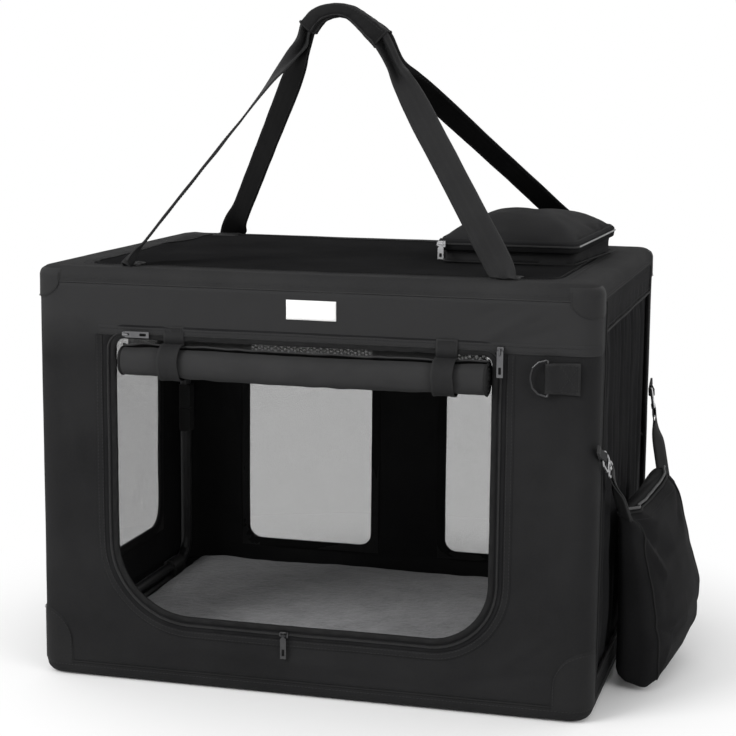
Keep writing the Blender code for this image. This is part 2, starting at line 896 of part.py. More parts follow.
def leg_rows(word, side, end):
    """One leg of a strap, from its foot up: middle, width and width direction of each row."""
    sign = -1 if end == "left" else 1
    foot = Vector((sign * foot_xs[word], side * strap_foot_y, strap_foot_z))
    gather = grip_point(*gather_shares[end], side)
    lean, foot_share = leg_lean_shares[word, end]
    at_foot = Vector((-sign, 0, 0))
    run = (gather - foot).normalized() * -sign
    at_gather = Vector((run.z, 0, -run.x)).normalized()
    rows = [(foot, strap_width * foot_share, at_foot)]
    for along, width_share, lean_share in leg_shares:
        other = at_foot if along < 0.5 else at_gather
        across = other.lerp(Vector(lean), lean_share)
        across = (across - run * across.dot(run)).normalized()
        rows.append((foot.lerp(gather, along), strap_width * width_share, across))
    rows.append((gather, strap_width * gather_width_share, at_gather))
    return rows


def grip_rows(side):
    """The grip's part of a strap, from left to right, with the height of the wrap round it."""
    middles = [grip_point(along, drop, side) for along, drop, height in grip_shares]
    rows = []
    for index, (along, drop, height_share) in enumerate(grip_shares):
        run = middles[min(index + 1, len(middles) - 1)] - middles[max(index - 1, 0)]
        across = Vector((run.z, 0, -run.x)).normalized()
        height = grip_height * height_share
        rows.append((middles[index], height - 2 * grip_wall, across, height))
    return rows


def rails_of(rows):
    return [(row[0] - row[2] * row[1] / 2, row[0] + row[2] * row[1] / 2) for row in rows]


def make_strap(word, side):
    """A webbing strap from one foot over the grip to the other."""
    left = leg_rows(word, side, "left")
    right = leg_rows(word, side, "right")[::-1]
    rails = rails_of(left + grip_rows(side) + right)
    return smooth(strip(word + "_handle", rails, strap_thickness, "webbing"))


def make_grip(word, side):
    """Half of the padded wrap that closes round both straps, with a slot for its own strap."""
    rows = grip_rows(side)
    near = side * gap / 2
    far = side * grip_depth
    chamfer = grip_wall / 2
    shape = bmesh.new()
    rings = []
    for middle, _, across, height in rows:
        half = height / 2
        flat = Vector((middle.x, 0, middle.z))
        points = []
        for reach, y in ((-half, near), (chamfer - half, far), (half - chamfer, far), (half, near)):
            points.append(flat + across * reach + Vector((0, y, 0)))
        rings.append([shape.verts.new(point) for point in points])
    for one, two in zip(rings, rings[1:]):
        for index in range(4):
            following = (index + 1) % 4
            shape.faces.new((one[index], one[following], two[following], two[index]))
    shape.faces.new(rings[0][::-1])
    shape.faces.new(rings[-1])
    bmesh.ops.recalc_face_normals(shape, faces=shape.faces)
    grip = from_bmesh("grip_" + word, shape, "webbing")
    left = leg_rows(word, side, "left")[-1]
    right = leg_rows(word, side, "right")[-1]
    wide = [(row[0], row[1] + 2 * slot_clearance, row[2]) for row in [left] + rows + [right]]
    slot = strip("slot", rails_of(wide), strap_thickness + 2 * slot_clearance)
    return smooth(cut(grip, slot), math.radians(30))


def add_strap_patches(roof):
    """The sewn patches that hold the four strap feet."""
    half = strap_width / 2
    top = crate_height + patch_thickness
    for side_y, word in ((-1, "front"), (1, "rear")):
        near = side_y * (strap_foot_y - patch_gap)
        far = side_y * (strap_foot_y - patch_gap - patch_length)
        for side_x in (-1, 1):
            x = side_x * foot_xs[word]
            low = (x - half, min(near, far), crate_height - patch_sink)
            join(roof, box("patch", low, (x + half, max(near, far), top)))
    return roof


# Pocket and pouch


def make_pocket():
    low = (pocket_left, pocket_front, crate_height + gap)
    high = (pocket_right, pocket_back, crate_height + gap + pocket_side + pocket_crown)
    return soft_block(
        "roof_pocket", low, high, pocket_crown, pocket_draw, edge_radius, (7, 7, 3), "shell_fabric"
    )


def pouch_matrix():
    stand_off = pouch_wall_gap + pouch_width / 2 * math.sin(-pouch_turn)
    middle = (half_length + stand_off, pouch_middle_y, pouch_top)
    return Matrix.Translation(middle) @ Matrix.Rotation(pouch_turn, 4, "Z")


def make_pouch():
    """A soft bag: flat towards the crate, bulging away from it, narrower at the top."""
    low = (-pouch_width / 2, -pouch_height, 0)
    high = (pouch_width / 2, 0, pouch_depth)
    bag = soft_block(
        "pouch_bag", low, high, pouch_bulge, pouch_bulge / 2, edge_radius, (6, 6, 2), "shell_fabric"
    )
    for vert in bag.data.vertices:
        down = -vert.co.y / pouch_height
        vert.co.z *= pouch_top_share + (1 - pouch_top_share) * min(1, down / pouch_taper_share)
        rearward = vert.co.x / pouch_width + 0.5
        vert.co.y *= 1 - (1 - pouch_rear_share) * rearward
    upright = facing((0, 1, 0), (0, 0, 1))
    bag.data.transform(pouch_matrix() @ upright)
    return bag


def hook_line(side):
    """Where a hook starts, in its loop's eye, and the pouch's corner that it runs to."""
    start = Vector((half_length + gap + loop_thickness + loop_eye, side * loop_y, loop_hook_height))
    reach = Vector((pouch_depth * pouch_top_share / 2, side * pouch_width * pouch_tab_share, 0))
    return start, pouch_matrix() @ reach


def make_wall_loop(word, side):
    """Webbing sewn on the crate's end, turned towards the pouch and folded into an eye."""
    start, corner = hook_line(side)
    back = start - corner
    back.x = 0
    back.normalize()
    out = Vector((1, 0, 0))
    turn = facing(out, back, start)
    inner = loop_eye
    outer = loop_eye + loop_thickness
    outline = [(-outer, loop_sewn)]
    for step in range(0, 9):
        angle = math.pi + math.pi * step / 8
        outline.append((outer * math.cos(angle), outer * math.sin(angle)))
    outline.append((-outer + 2 * loop_thickness, loop_sewn * loop_flap_share))
    outline.append((-outer + 2 * loop_thickness, loop_sewn))
    body = plate("pouch_loop_" + word, [outline], loop_width, turn, "webbing")
    hole = [(-inner, loop_sewn * loop_slot_share)]
    for step in range(0, 9):
        angle = math.pi + math.pi * step / 8
        hole.append((inner * math.cos(angle), inner * math.sin(angle)))
    cut(body, plate("loop_cut", [hole], loop_width + 2 * overrun, turn))
    return smooth(body)


def make_hook(word, side):
    """A snap hook: an oblong ring through the loop, a swivel below it, and an eye for the tab."""
    start, end = hook_line(side)
    run = (end - start).normalized()
    across = Vector((1, 0, 0)).cross(run).normalized()
    turn = facing(across, -run, start)
    name = "pouch_hook_" + word
    low = -hook_length
    ring = rectangle(-hook_half_width, low, hook_half_width, 0, hook_bend, 3)
    points = [turn @ Vector((x, y, 0)) for x, y in ring]
    body = tube(name, points, hook_wire, "zip_metal", cyclic=True, resolution=2)
    top = low + hook_wire / 2
    bottom = top - swivel_length
    ends = [turn @ Vector((0, top, 0)), turn @ Vector((0, bottom, 0))]
    barrel = tube("barrel", ends, swivel_radius, None, False, 2)
    eye_low = bottom - hook_half_width
    eye = rectangle(-hook_half_width, eye_low, hook_half_width, bottom + hook_wire / 2, hook_wire, 2)
    points = [turn @ Vector((x, y, 0)) for x, y in eye]
    lower = tube("eye", points, hook_wire, None, cyclic=True, resolution=2)
    join(body, barrel, lower)
    return smooth(body), turn, eye_low


def make_pouch_tab(side, turn, eye_low):
    """Webbing folded round the hook's lower eye; its foot is sewn into the pouch."""
    half = hook_half_width - hook_wire - gap
    inner = hook_wire + gap
    outer = inner + loop_thickness
    start, end = hook_line(side)
    length = (end - start).length
    foot = -length - eye_low
    outline = []
    for step in range(0, 9):
        angle = math.pi * step / 8
        outline.append((outer * math.cos(angle), outer * math.sin(angle)))
    outline.append((-outer, foot))
    outline.append((outer, foot))
    matrix = turn @ Matrix.Translation((0, eye_low, 0)) @ facing((0, 0, 1), (0, 1, 0))
    body = plate("pouch_tab", [outline], 2 * half, matrix)
    hole = circle(inner, 0, 0, 16)
    return cut(body, plate("tab_cut", [hole], 2 * half + 2 * overrun, matrix))


# Webbing tab and ring on the front


def make_front_tab():
    """Webbing folded round the ring's upright bar and sewn flat on the front."""
    near = -half_depth - gap
    eye_y = near - tab_thickness - tab_eye
    left = tab_left
    outline = [(tab_right, near)]
    for step in range(0, 9):
        angle = math.pi / 2 + math.pi * step / 8
        reach = tab_eye + tab_thickness
        outline.append((left + reach * math.cos(angle), eye_y + reach * math.sin(angle)))
    outline.append((left + tab_fold, near - 2 * tab_thickness))
    outline.append((tab_right, near - 2 * tab_thickness))
    body = plate("front_tab", [outline], tab_width, along_z(tab_height), "webbing")
    hole = circle(tab_eye, left, eye_y, 16)
    cut(body, plate("tab_cut", [hole], tab_width + 2 * overrun, along_z(tab_height)))
    return smooth(body)


def make_front_ring():
    """A D-shaped ring of wire; its straight bar passes through the tab."""
    y = -half_depth - gap - tab_thickness - tab_eye
    half = tab_width / 2 + 2 * ring_wire
    corners = (
        (tab_left, tab_height - half),
        (tab_left, tab_height + half),
        (tab_left - ring_reach, tab_height + half),
        (tab_left - ring_reach, tab_height - half),
    )
    outline = rounded(corners[::-1], (ring_corner, ring_corner, ring_wire, ring_wire), 3)
    points = [(x, y, z) for x, z in outline]
    ring = tube("front_ring", points, ring_wire, "zip_metal", cyclic=True, resolution=2)
    return set_origin(ring, (tab_left, y, tab_height))


# Zip sliders


def make_slider(name, middle, run, out):
    """A slider body lying on the tape, with the wire bridge that holds its pull."""
    run = Vector(run)
    out = Vector(out)
    across = out.cross(run)
    nose = slider_nose / 2
    wide = slider_width / 2
    length = slider_length / 2
    corners = ((-nose, -length), (nose, -length), (wide, length), (-wide, length))
    outline = rounded(corners, (slider_bend,) * 4, 2)
    flat = Matrix.Translation(middle) @ facing(across, run)
    body = plate(name, [outline], slider_thickness, flat, "zip_metal")
    base = Vector(middle) + out * (slider_thickness / 2 - bridge_wire)
    top = base + out * (bridge_height + bridge_wire)
    reach = run * bridge_reach
    points = [base - reach, top - reach, top + reach, base + reach]
    bridge = tube("bridge", points, bridge_wire, None, False, 2)
    join(body, bridge)
    return smooth(body)


def pull_axis(middle, out):
    """A pull turns about a line halfway between the slider's face and the bridge."""
    return Vector(middle) + Vector(out) * (slider_thickness + bridge_room) / 2


def finish_pull(name, outline, axis, out, way, length, eye=None):
    half = pull_width / 2
    wide_share, start_share, end_share = pull_hole_shares
    wide = half * wide_share
    hole = rectangle(-wide, length * start_share, wide, length * end_share, wide / 2, 2)
    turn = Matrix.Translation(axis) @ facing(out.cross(way), way)
    body = plate(name, [outline], pull_thickness, turn, "zip_metal")
    for opening in (eye, hole):
        if opening:
            cut(body, plate("hole", [opening], 2 * overrun, turn))
    return set_origin(smooth(body), axis)


def make_pull(name, middle, out, way, length):
    """A flat pull that lies along its zip: its eye takes the bridge, and it flips outward."""
    out = Vector(out)
    half = pull_width / 2
    bar = math.sqrt((bridge_room / 2 - gap) ** 2 - (pull_thickness / 2) ** 2)
    outline = rectangle(-half, -bar, half, length, bar / 2, 2)
    eye_half = bridge_wire + 2 * gap
    eye_far = math.hypot(bridge_reach, bridge_room / 2 + bridge_wire) + bridge_wire + gap
    eye = rectangle(-eye_half, bar, eye_half, eye_far, eye_half / 2, 2)
    return finish_pull(name, outline, pull_axis(middle, out), out, Vector(way), length, eye)


def make_hanging_pull(name, middle, out, way, length):
    """A pull that hangs across its zip: its neck passes under the bridge, between the uprights."""
    out = Vector(out)
    half = pull_width / 2
    neck = bridge_reach * math.cos(pull_swing) - bridge_wire - gap
    near = bridge_reach * math.sin(pull_swing) + bridge_wire + gap
    far = near + pull_head_length
    right_side = (
        (pull_head, -far),
        (pull_head, -near),
        (neck, -near),
        (neck, near),
        (half, 2 * near),
        (half, length),
    )
    left_side = [(-x, y) for x, y in right_side[::-1]]
    outline = [*right_side, *left_side]
    return finish_pull(name, outline, pull_axis(middle, out), out, Vector(way), length)


def build_crate():
    # Base
    make_ring("base_ring", ring_height)
    make_tray("floor_tray", 0.0, 1, floor_end_skirt)
    make_board()
    make_mat()
    make_front_wall()
    make_back_wall()
    make_roll()
    make_tie("roll_tie_left", roll_left + tie_left_inset)
    make_tie("roll_tie_right", roll_right - tie_right_inset)
    make_front_tab()
    make_front_ring()
    # Roof
    make_ring("top_ring", crate_height - ring_height)
    roof = make_tray("roof_shell", crate_height, -1, roof_end_skirt)
    add_strap_patches(roof)
    make_pocket()
    # Ends
    for side, word in ((-1, "left"), (1, "right")):
        low_bar = bar_height
        high_bar = crate_height - bar_height
        lower = make_end_frame(word + "_lower_frame", side, low_bar, knee_height - post_end_gap)
        upper = make_end_frame(word + "_upper_frame", side, high_bar, knee_height + post_end_gap)
        low_axis = axis_empty(word + "_fold_axis", (side * ring_x, 0, low_bar))
        knee_axis = axis_empty(word + "_knee_axis", (side * knee_x, 0, knee_height))
        hold(low_axis, lower)
        hold(knee_axis, upper)
        for end, end_word in ((-1, "front"), (1, "rear")):
            clip_y = end * clip_middle
            make_clip("base_clip_" + word + "_" + end_word, side, clip_y, ring_height, low_bar)
            top_ring_z = crate_height - ring_height
            make_clip("roof_clip_" + word + "_" + end_word, side, clip_y, top_ring_z, high_bar)
            knee_y = end * post_y
            name = word + "_knee_" + end_word
            hold(low_axis, make_knee_half(name + "_lower", side, knee_y, False))
            hold(knee_axis, make_knee_half(name + "_upper", side, knee_y, True))
        for is_upper, half in ((False, "lower"), (True, "upper")):
            axis = knee_axis if is_upper else low_axis
            if side < 0:
                wall, window = make_left_panel(half, is_upper)
                hold(axis, wall, window)
            else:
                hold(axis, make_right_panel(half, is_upper))
    # Carrying straps
    for side, word in ((-1, "front"), (1, "rear")):
        swing = axis_empty(word + "_handle_axis", (0, side * strap_foot_y, strap_foot_z))
        hold(swing, make_strap(word, side), make_grip(word, side))
    # Pouch
    swing_x = half_length + gap + loop_thickness + loop_eye
    swing = axis_empty("pouch_axis", (swing_x, 0, loop_hook_height))
    pouch = make_pouch()
    for side, word in ((-1, "front"), (1, "rear")):
        make_wall_loop(word, side)
        hook, turn, eye_low = make_hook(word, side)
        hold(swing, hook)
        join(pouch, make_pouch_tab(side, turn, eye_low))
    hold(swing, smooth(pouch, math.radians(60)))
    # Zips
    lift = slider_thickness / 2 + gap
    front = -half_depth - lift
    seam = door_top + slider_width / 2
    outward = (0, -1, 0)
    left = (door_left + left_slider_inset, front, seam)
    right = (door_right + slider_width, front, seam)
    sill = (door_left + sill_slider_along, front, door_bottom - slider_width)
    along = (1, 0, 0)
    down = (0, 0, -1)
    make_slider("zip_slider_left", left, along, outward)
    make_pull("zip_pull_left", left, outward, along, pull_length)
    make_slider("zip_slider_right", right, (0, 0, 1), outward)
    make_pull("zip_pull_right", right, outward, down, pull_length)
    make_slider("zip_slider_sill", sill, along, outward)
    make_hanging_pull("zip_pull_sill", sill, outward, down, pull_length)
    zip_height = crate_height + pocket_side * pocket_zip_share
    pocket = (pocket_left + slider_length, pocket_front - lift, zip_height)
    make_slider("pocket_slider", pocket, along, outward)
    make_hanging_pull("pocket_pull", pocket, outward, down, pocket_pull_length)


build_crate()
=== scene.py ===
import math
from functools import partial

import bmesh
import bpy
import numpy as np
from mathutils import Matrix, Vector, noise


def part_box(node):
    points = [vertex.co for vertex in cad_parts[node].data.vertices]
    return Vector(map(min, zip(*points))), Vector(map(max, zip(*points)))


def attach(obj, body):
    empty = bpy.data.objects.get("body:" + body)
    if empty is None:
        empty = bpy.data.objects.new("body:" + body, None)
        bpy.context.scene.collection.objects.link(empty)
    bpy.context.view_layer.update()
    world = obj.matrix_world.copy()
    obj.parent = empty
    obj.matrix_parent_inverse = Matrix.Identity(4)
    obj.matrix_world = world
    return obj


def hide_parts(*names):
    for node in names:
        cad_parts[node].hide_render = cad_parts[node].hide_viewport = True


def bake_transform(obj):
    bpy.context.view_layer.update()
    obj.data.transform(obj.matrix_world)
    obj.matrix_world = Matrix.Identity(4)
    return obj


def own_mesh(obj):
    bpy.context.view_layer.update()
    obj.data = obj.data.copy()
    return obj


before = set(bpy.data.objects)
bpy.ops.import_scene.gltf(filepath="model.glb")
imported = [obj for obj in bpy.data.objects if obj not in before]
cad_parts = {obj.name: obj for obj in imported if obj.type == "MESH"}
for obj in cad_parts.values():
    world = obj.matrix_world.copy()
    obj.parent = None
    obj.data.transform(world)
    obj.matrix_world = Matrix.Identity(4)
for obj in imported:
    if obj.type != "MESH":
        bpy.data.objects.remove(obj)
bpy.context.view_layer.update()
sceneNow = bpy.context.scene


# shape helpers

def ease(low, high, value):  # 0 to 1, soft at both ends
    t = min(1.0, max(0.0, (value - low) / (high - low)))
    return t * t * (3 - 2 * t)


def swell(x, y, size, seed):  # smooth noise, -1 to 1
    return noise.noise(Vector((x / size + seed * 3.7, y / size - seed * 5.1, seed * 1.3)))


def crease(x, y, line):  # a ridge or dent along a line that fades at both ends
    x0, y0, x1, y1, wide, deep = line
    dx, dy = x1 - x0, y1 - y0
    t = ((x - x0) * dx + (y - y0) * dy) / (dx * dx + dy * dy)
    if t < -0.3 or t > 1.3:
        return 0.0
    off = ((x - x0) * dy - (y - y0) * dx) / math.hypot(dx, dy)
    fade = ease(-0.3, 0.25, t) * ease(-0.3, 0.25, 1 - t)
    return deep * fade * math.exp(-(off / wide) ** 2)


def roundRect(left, low, right, high, bends, count=8):
    # corners go low left, low right, high right, high left; a single number bends all four
    if isinstance(bends, (int, float)):
        bends = (bends,) * 4
    points = []
    turns = ((left, low, 1, 1, 180), (right, low, -1, 1, 270), (right, high, -1, -1, 0), (left, high, 1, -1, 90))
    for (x, y, sx, sy, start), bend in zip(turns, bends):
        if bend <= 0:
            points.append((x, y))
            continue
        for k in range(count + 1):
            a = math.radians(start + 90 * k / count)
            points.append((x + sx * bend + bend * math.cos(a), y + sy * bend + bend * math.sin(a)))
    return points


def evenly(points, step, closed=False):  # the same line with points a step apart
    line = [Vector(p) for p in points]
    if closed:
        line.append(line[0].copy())
    lengths = [0.0]
    for a, b in zip(line, line[1:]):
        lengths.append(lengths[-1] + (b - a).length)
    count = max(2, round(lengths[-1] / step))
    made = []
    k = 0
    for n in range(count + (0 if closed else 1)):
        d = lengths[-1] * n / count
        while k < len(line) - 2 and lengths[k + 1] < d:
            k += 1
        span = max(1e-9, lengths[k + 1] - lengths[k])
        made.append(line[k].lerp(line[k + 1], min(1.0, (d - lengths[k]) / span)))
    return made
def evenOutline(flats, step, closed=True):  # the same for the pairs of a flat outline
    return evenly([(x, y, 0) for x, y in flats], step, closed)


def runAt(line, k, closed=False):  # which way a line runs at its point k
    count = len(line)
    a = line[(k - 1) % count] if closed or k > 0 else line[0]
    b = line[(k + 1) % count] if closed or k < count - 1 else line[-1]
    return (b - a).normalized()
def smoothLine(points, steps=8):  # a Catmull-Rom line through points
    line = [Vector(p) for p in points]
    made = []
    for k in range(len(line) - 1):
        a, b, c, d = line[max(k - 1, 0)], line[k], line[k + 1], line[min(k + 2, len(line) - 1)]
        for n in range(steps):
            t = n / steps
            made.append(0.5 * (
                2 * b + (c - a) * t + (2 * a - 5 * b + 4 * c - d) * t * t + (3 * b - a - 3 * c + d) * t ** 3))
    made.append(line[-1])
    return made


def inside(point, outline):
    x, y = point
    hit = False
    for (ax, ay), (bx, by) in zip(outline, outline[1:] + outline[:1]):
        if (ay > y) != (by > y) and x < (bx - ax) * (y - ay) / (by - ay) + ax:
            hit = not hit
    return hit


def nearestOn(point, outline):
    x, y = point
    best = None
    for (ax, ay), (bx, by) in zip(outline, outline[1:] + outline[:1]):
        dx, dy = bx - ax, by - ay
        t = min(1.0, max(0.0, ((x - ax) * dx + (y - ay) * dy) / max(1e-12, dx * dx + dy * dy)))
        px, py = ax + t * dx, ay + t * dy
        far = math.hypot(px - x, py - y)
        if best is None or far < best[0]:
            best = (far, px, py)
    return best


def addObject(name, shape, finish):
    mesh = bpy.data.meshes.new(name)
    shape.to_mesh(mesh)
    shape.free()
    made = bpy.data.objects.new(name, mesh)
    sceneNow.collection.objects.link(made)
    mesh.materials.append(finish)
    mesh.shade_smooth()
    mesh.set_sharp_from_angle(angle=math.radians(50))
    return made


def settle(piece):  # its modifiers go into its mesh
    bpy.context.view_layer.update()
    graph = bpy.context.evaluated_depsgraph_get()
    shown = piece.evaluated_get(graph)
    mesh = bpy.data.meshes.new_from_object(shown, preserve_all_data_layers=True, depsgraph=graph)
    piece.modifiers.clear()
    piece.data = mesh
    return piece


def thicken(piece, thick, centred=False):  # cloth thickness, inward from the face that shows or to both sides
    modifier = piece.modifiers.new("thickness", "SOLIDIFY")
    modifier.thickness = thick
    modifier.offset = 0.0 if centred else -1.0
    modifier.use_quality_normals = not centred
    return settle(piece)


def lengthsAlong(points):
    made = [0.0]
    for a, b in zip(points, points[1:]):
        made.append(made[-1] + (b - a).length)
    return made


def faceToward(shape, toward):  # turns the faces over if together they look away from that side
    shape.normal_update()
    total = sum((f.normal * f.calc_area() for f in shape.faces), Vector())
    if total.dot(Vector(toward)) < 0:
        bmesh.ops.reverse_faces(shape, faces=shape.faces)


def sheet(name, rows, finish, toward=None, thick=0.0, closed=False):
    # rows of points, or of rings, as one cloth, with its map in metres
    shape = bmesh.new()
    uv = shape.loops.layers.uv.new("map")
    verts = [[shape.verts.new(p) for p in row] for row in rows]
    middleRow = list(rows[len(rows) // 2])
    wide = len(middleRow)
    us = lengthsAlong(middleRow + middleRow[:1] if closed else middleRow)
    vs = lengthsAlong([row[len(row) // 2] for row in rows])
    for i in range(len(rows) - 1):
        for j in range(wide if closed else wide - 1):
            m = (j + 1) % wide
            face = shape.faces.new((verts[i][j], verts[i][m], verts[i + 1][m], verts[i + 1][j]))
            places = ((us[j], vs[i]), (us[j + 1], vs[i]), (us[j + 1], vs[i + 1]), (us[j], vs[i + 1]))
            for loop, place in zip(face.loops, places):
                loop[uv].uv = place
    if toward is not None:
        faceToward(shape, toward)
    elif closed:
        bmesh.ops.recalc_face_normals(shape, faces=shape.faces)
    made = addObject(name, shape, finish)
    return thicken(made, thick) if thick else made


def panel(name, across, up, place, openings, finish, toward, thick=0.0):
    # a cloth panel over the grid across x up, with its openings' edges brought onto their outlines
    shape = bmesh.new()
    uv = shape.loops.layers.uv.new("map")
    flat = {}
    verts = []
    for z in up:
        row = []
        for s in across:
            v = shape.verts.new(place(s, z))
            flat[v] = (s, z)
            row.append(v)
        verts.append(row)
    for i in range(len(up) - 1):
        for j in range(len(across) - 1):
            middle = ((across[j] + across[j + 1]) / 2, (up[i] + up[i + 1]) / 2)
            if any(inside(middle, o) for o in openings):
                continue
            shape.faces.new((verts[i][j], verts[i][j + 1], verts[i + 1][j + 1], verts[i + 1][j]))
    bmesh.ops.delete(shape, geom=[v for v in shape.verts if not v.link_faces], context="VERTS")
    for v in shape.verts:
        s, z = flat[v]
        if not v.is_boundary or s in (across[0], across[-1]) or z in (up[0], up[-1]):
            continue
        flat[v] = min(nearestOn((s, z), o) for o in openings)[1:]
        v.co = place(*flat[v])
    bmesh.ops.remove_doubles(shape, verts=shape.verts, dist=0.00002)
    for face in shape.faces:
        for loop in face.loops:
            loop[uv].uv = flat[loop.vert]
    faceToward(shape, toward)
    made = addObject(name, shape, finish)
    return thicken(made, thick) if thick else made


def bandAlong(name, flats, place, finish, profile, closed=True, step=0.004, side=1, toward=(0, -1, 0)):
    # a tape or hem beside a flat outline: profile is (distance from the outline, lift) pairs
    line = evenOutline(flats, step, closed)
    rows = []
    for distance, lift in profile:
        row = []
        for k, p in enumerate(line):
            run = runAt(line, k, closed)
            q = p + Vector((run.y, -run.x, 0)) * distance * side
            row.append(place(q.x, q.y, lift(k, q) if callable(lift) else lift))
        rows.append(row)
    return sheet(name, rows, finish, toward=toward, closed=closed)


def cordRound(name, points, radius, finish, sides=8, closed=False, flat=1.0):
    # a round or oval edge cord, piping or wire along points
    line = [Vector(p) for p in points]
    count = len(line)
    shape = bmesh.new()
    uv = shape.loops.layers.uv.new("map")
    side = runAt(line, 0, closed).orthogonal().normalized()
    rings = []
    for k, p in enumerate(line):
        run = runAt(line, k, closed)
        side = (side - run * side.dot(run)).normalized()
        other = run.cross(side)
        ring = []
        for n in range(sides):
            a = 2 * math.pi * n / sides
            ring.append(shape.verts.new(p + side * radius * math.cos(a) + other * radius * flat * math.sin(a)))
        rings.append(ring)
    along = lengthsAlong(line + [line[0]])
    girth = 2 * math.pi * radius
    for k in range(count if closed else count - 1):
        one, two = rings[k], rings[(k + 1) % count]
        for n in range(sides):
            m = (n + 1) % sides
            face = shape.faces.new((one[n], one[m], two[m], two[n]))
            for loop, (a, b) in zip(face.loops, ((n, k), (n + 1, k), (n + 1, k + 1), (n, k + 1))):
                loop[uv].uv = (girth * a / sides, along[b])
    if not closed:
        shape.faces.new(rings[0][::-1])
        shape.faces.new(rings[-1])
    bmesh.ops.recalc_face_normals(shape, faces=shape.faces)
    return addObject(name, shape, finish)


stitch = dict(
    long=0.0030, space=0.0014, wide=0.00042,
    body=((0, 0.35, -0.2), (0.25, 1, 0.9), (0.75, 1, 0.9), (1, 0.35, -0.2)),  # how far along, how wide, how high
)


def stitchRun(shape, points, outs):
    # thread laid in short raised stitches along points
    line = [Vector(p) for p in points]
    marks = lengthsAlong(line)
    wide = stitch["wide"]
    d = stitch["space"]
    k = 0
    while d + stitch["long"] < marks[-1]:
        ends = []
        for at in (d, d + stitch["long"]):
            while k < len(line) - 2 and marks[k + 1] < at:
                k += 1
            t = (at - marks[k]) / max(1e-9, marks[k + 1] - marks[k])
            ends.append((line[k].lerp(line[k + 1], t), outs[min(k, len(outs) - 1)]))
        (a, out), (b, _) = ends
        across = (b - a).normalized().cross(out).normalized() * wide
        rows = []
        for t, size, high in stitch["body"]:
            p = a.lerp(b, t)
            foot = out * wide * (high - 0.6)
            spots = (p + across * size + foot, p + out * wide * high, p - across * size + foot)
            rows.append([shape.verts.new(spot) for spot in spots])
        for one, two in zip(rows, rows[1:]):
            for m, n in ((0, 1), (1, 2), (2, 0)):
                shape.faces.new((one[m], one[n], two[n], two[m]))
        shape.faces.new(rows[0][::-1])
        shape.faces.new(rows[-1])
        d += stitch["long"] + stitch["space"]


def stitched(name, runs, finish):
    shape = bmesh.new()
    shape.loops.layers.uv.new("map")
    for points, outs in runs:
        stitchRun(shape, points, outs)
    bmesh.ops.recalc_face_normals(shape, faces=shape.faces)
    return addObject(name, shape, finish)


def sewn(name, seams, toward, finish=None):  # stitches along seams that all look the same way
    return stitched(name, [(seam, [Vector(toward)] * len(seam)) for seam in seams], finish or thread)


def closeHoles(piece):
    shape = bmesh.new()
    shape.from_mesh(piece.data)
    bmesh.ops.holes_fill(shape, edges=[e for e in shape.edges if e.is_boundary], sides=0)
    bmesh.ops.recalc_face_normals(shape, faces=shape.faces)
    shape.to_mesh(piece.data)
    shape.free()


def boxMap(piece):  # a map in metres from the side that each face looks to
    mesh = piece.data
    layer = mesh.uv_layers.get("map") or mesh.uv_layers.new(name="map")
    for face in mesh.polygons:
        n = face.normal
        big = max(range(3), key=lambda axis: abs(n[axis]))
        for k in face.loop_indices:
            p = mesh.vertices[mesh.loops[k].vertex_index].co
            layer.data[k].uv = (p.y, p.z) if big == 0 else (p.x, p.z) if big == 1 else (p.x, p.y)


def fromNode(node, name, finish, rounds=0):
    # a scene piece with a CAD node's shape
    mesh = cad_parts[node].data.copy()
    mesh.name = name
    made = bpy.data.objects.new(name, mesh)
    sceneNow.collection.objects.link(made)
    made.matrix_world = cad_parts[node].matrix_world.copy()
    mesh.materials.clear()
    mesh.materials.append(finish)
    if rounds:
        soften = made.modifiers.new("bevel", "BEVEL")
        soften.width = rounds
        soften.segments = 2
        soften.limit_method = "ANGLE"
        soften.angle_limit = math.radians(35)
        settle(made)
    made.data.shade_smooth()
    made.data.set_sharp_from_angle(angle=math.radians(45))
    boxMap(made)
    return made


# how pieces move

foldHeight = dict(anchor=(0, 0, 0.0203), keep=0.172)  # passed with the pieces that get their own mesh; its anchor and keep are not read here


def named(piece, nodes):
    if nodes:
        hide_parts(*nodes)
    return piece


def moves(piece, body, nodes, squashed=None):
    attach(piece, body)
    if squashed:
        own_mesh(piece)
    return named(piece, nodes)


def onBase(piece, *nodes, slot="shell_fabric"):
    return moves(piece, "base", nodes)


def crumples(piece, *nodes, body="base", slot="shell_fabric"):
    return moves(piece, body, nodes, foldHeight)


def onRoof(piece, *nodes, slot="shell_fabric"):
    return moves(piece, "roof", nodes)


# finishes

def nodesOf(name):
    material = bpy.data.materials.new(name)
    material.use_nodes = True
    tree = material.node_tree
    shader = tree.nodes["Principled BSDF"]
    return material, tree, shader


def add(tree, kind, **values):
    node = tree.nodes.new(kind)
    for key, value in values.items():
        if key in node.inputs:
            node.inputs[key].default_value = value
        else:
            setattr(node, key, value)
    return node


def maths(tree, what, a, b=None):
    node = tree.nodes.new("ShaderNodeMath")
    node.operation = what
    for socket, value in zip(node.inputs, (a, b)):
        if value is None:
            continue
        if isinstance(value, (int, float)):
            socket.default_value = value
        else:
            tree.links.new(value, socket)
    return node.outputs[0]


def tones(tree, value, low, high, dark, light):
    ramp = tree.nodes.new("ShaderNodeValToRGB")
    for stop, place, tone in zip(ramp.color_ramp.elements, (low, high), (dark, light)):
        stop.position = place
        stop.color = (*tone, 1)
    tree.links.new(value, ramp.inputs[0])
    return ramp.outputs[0]


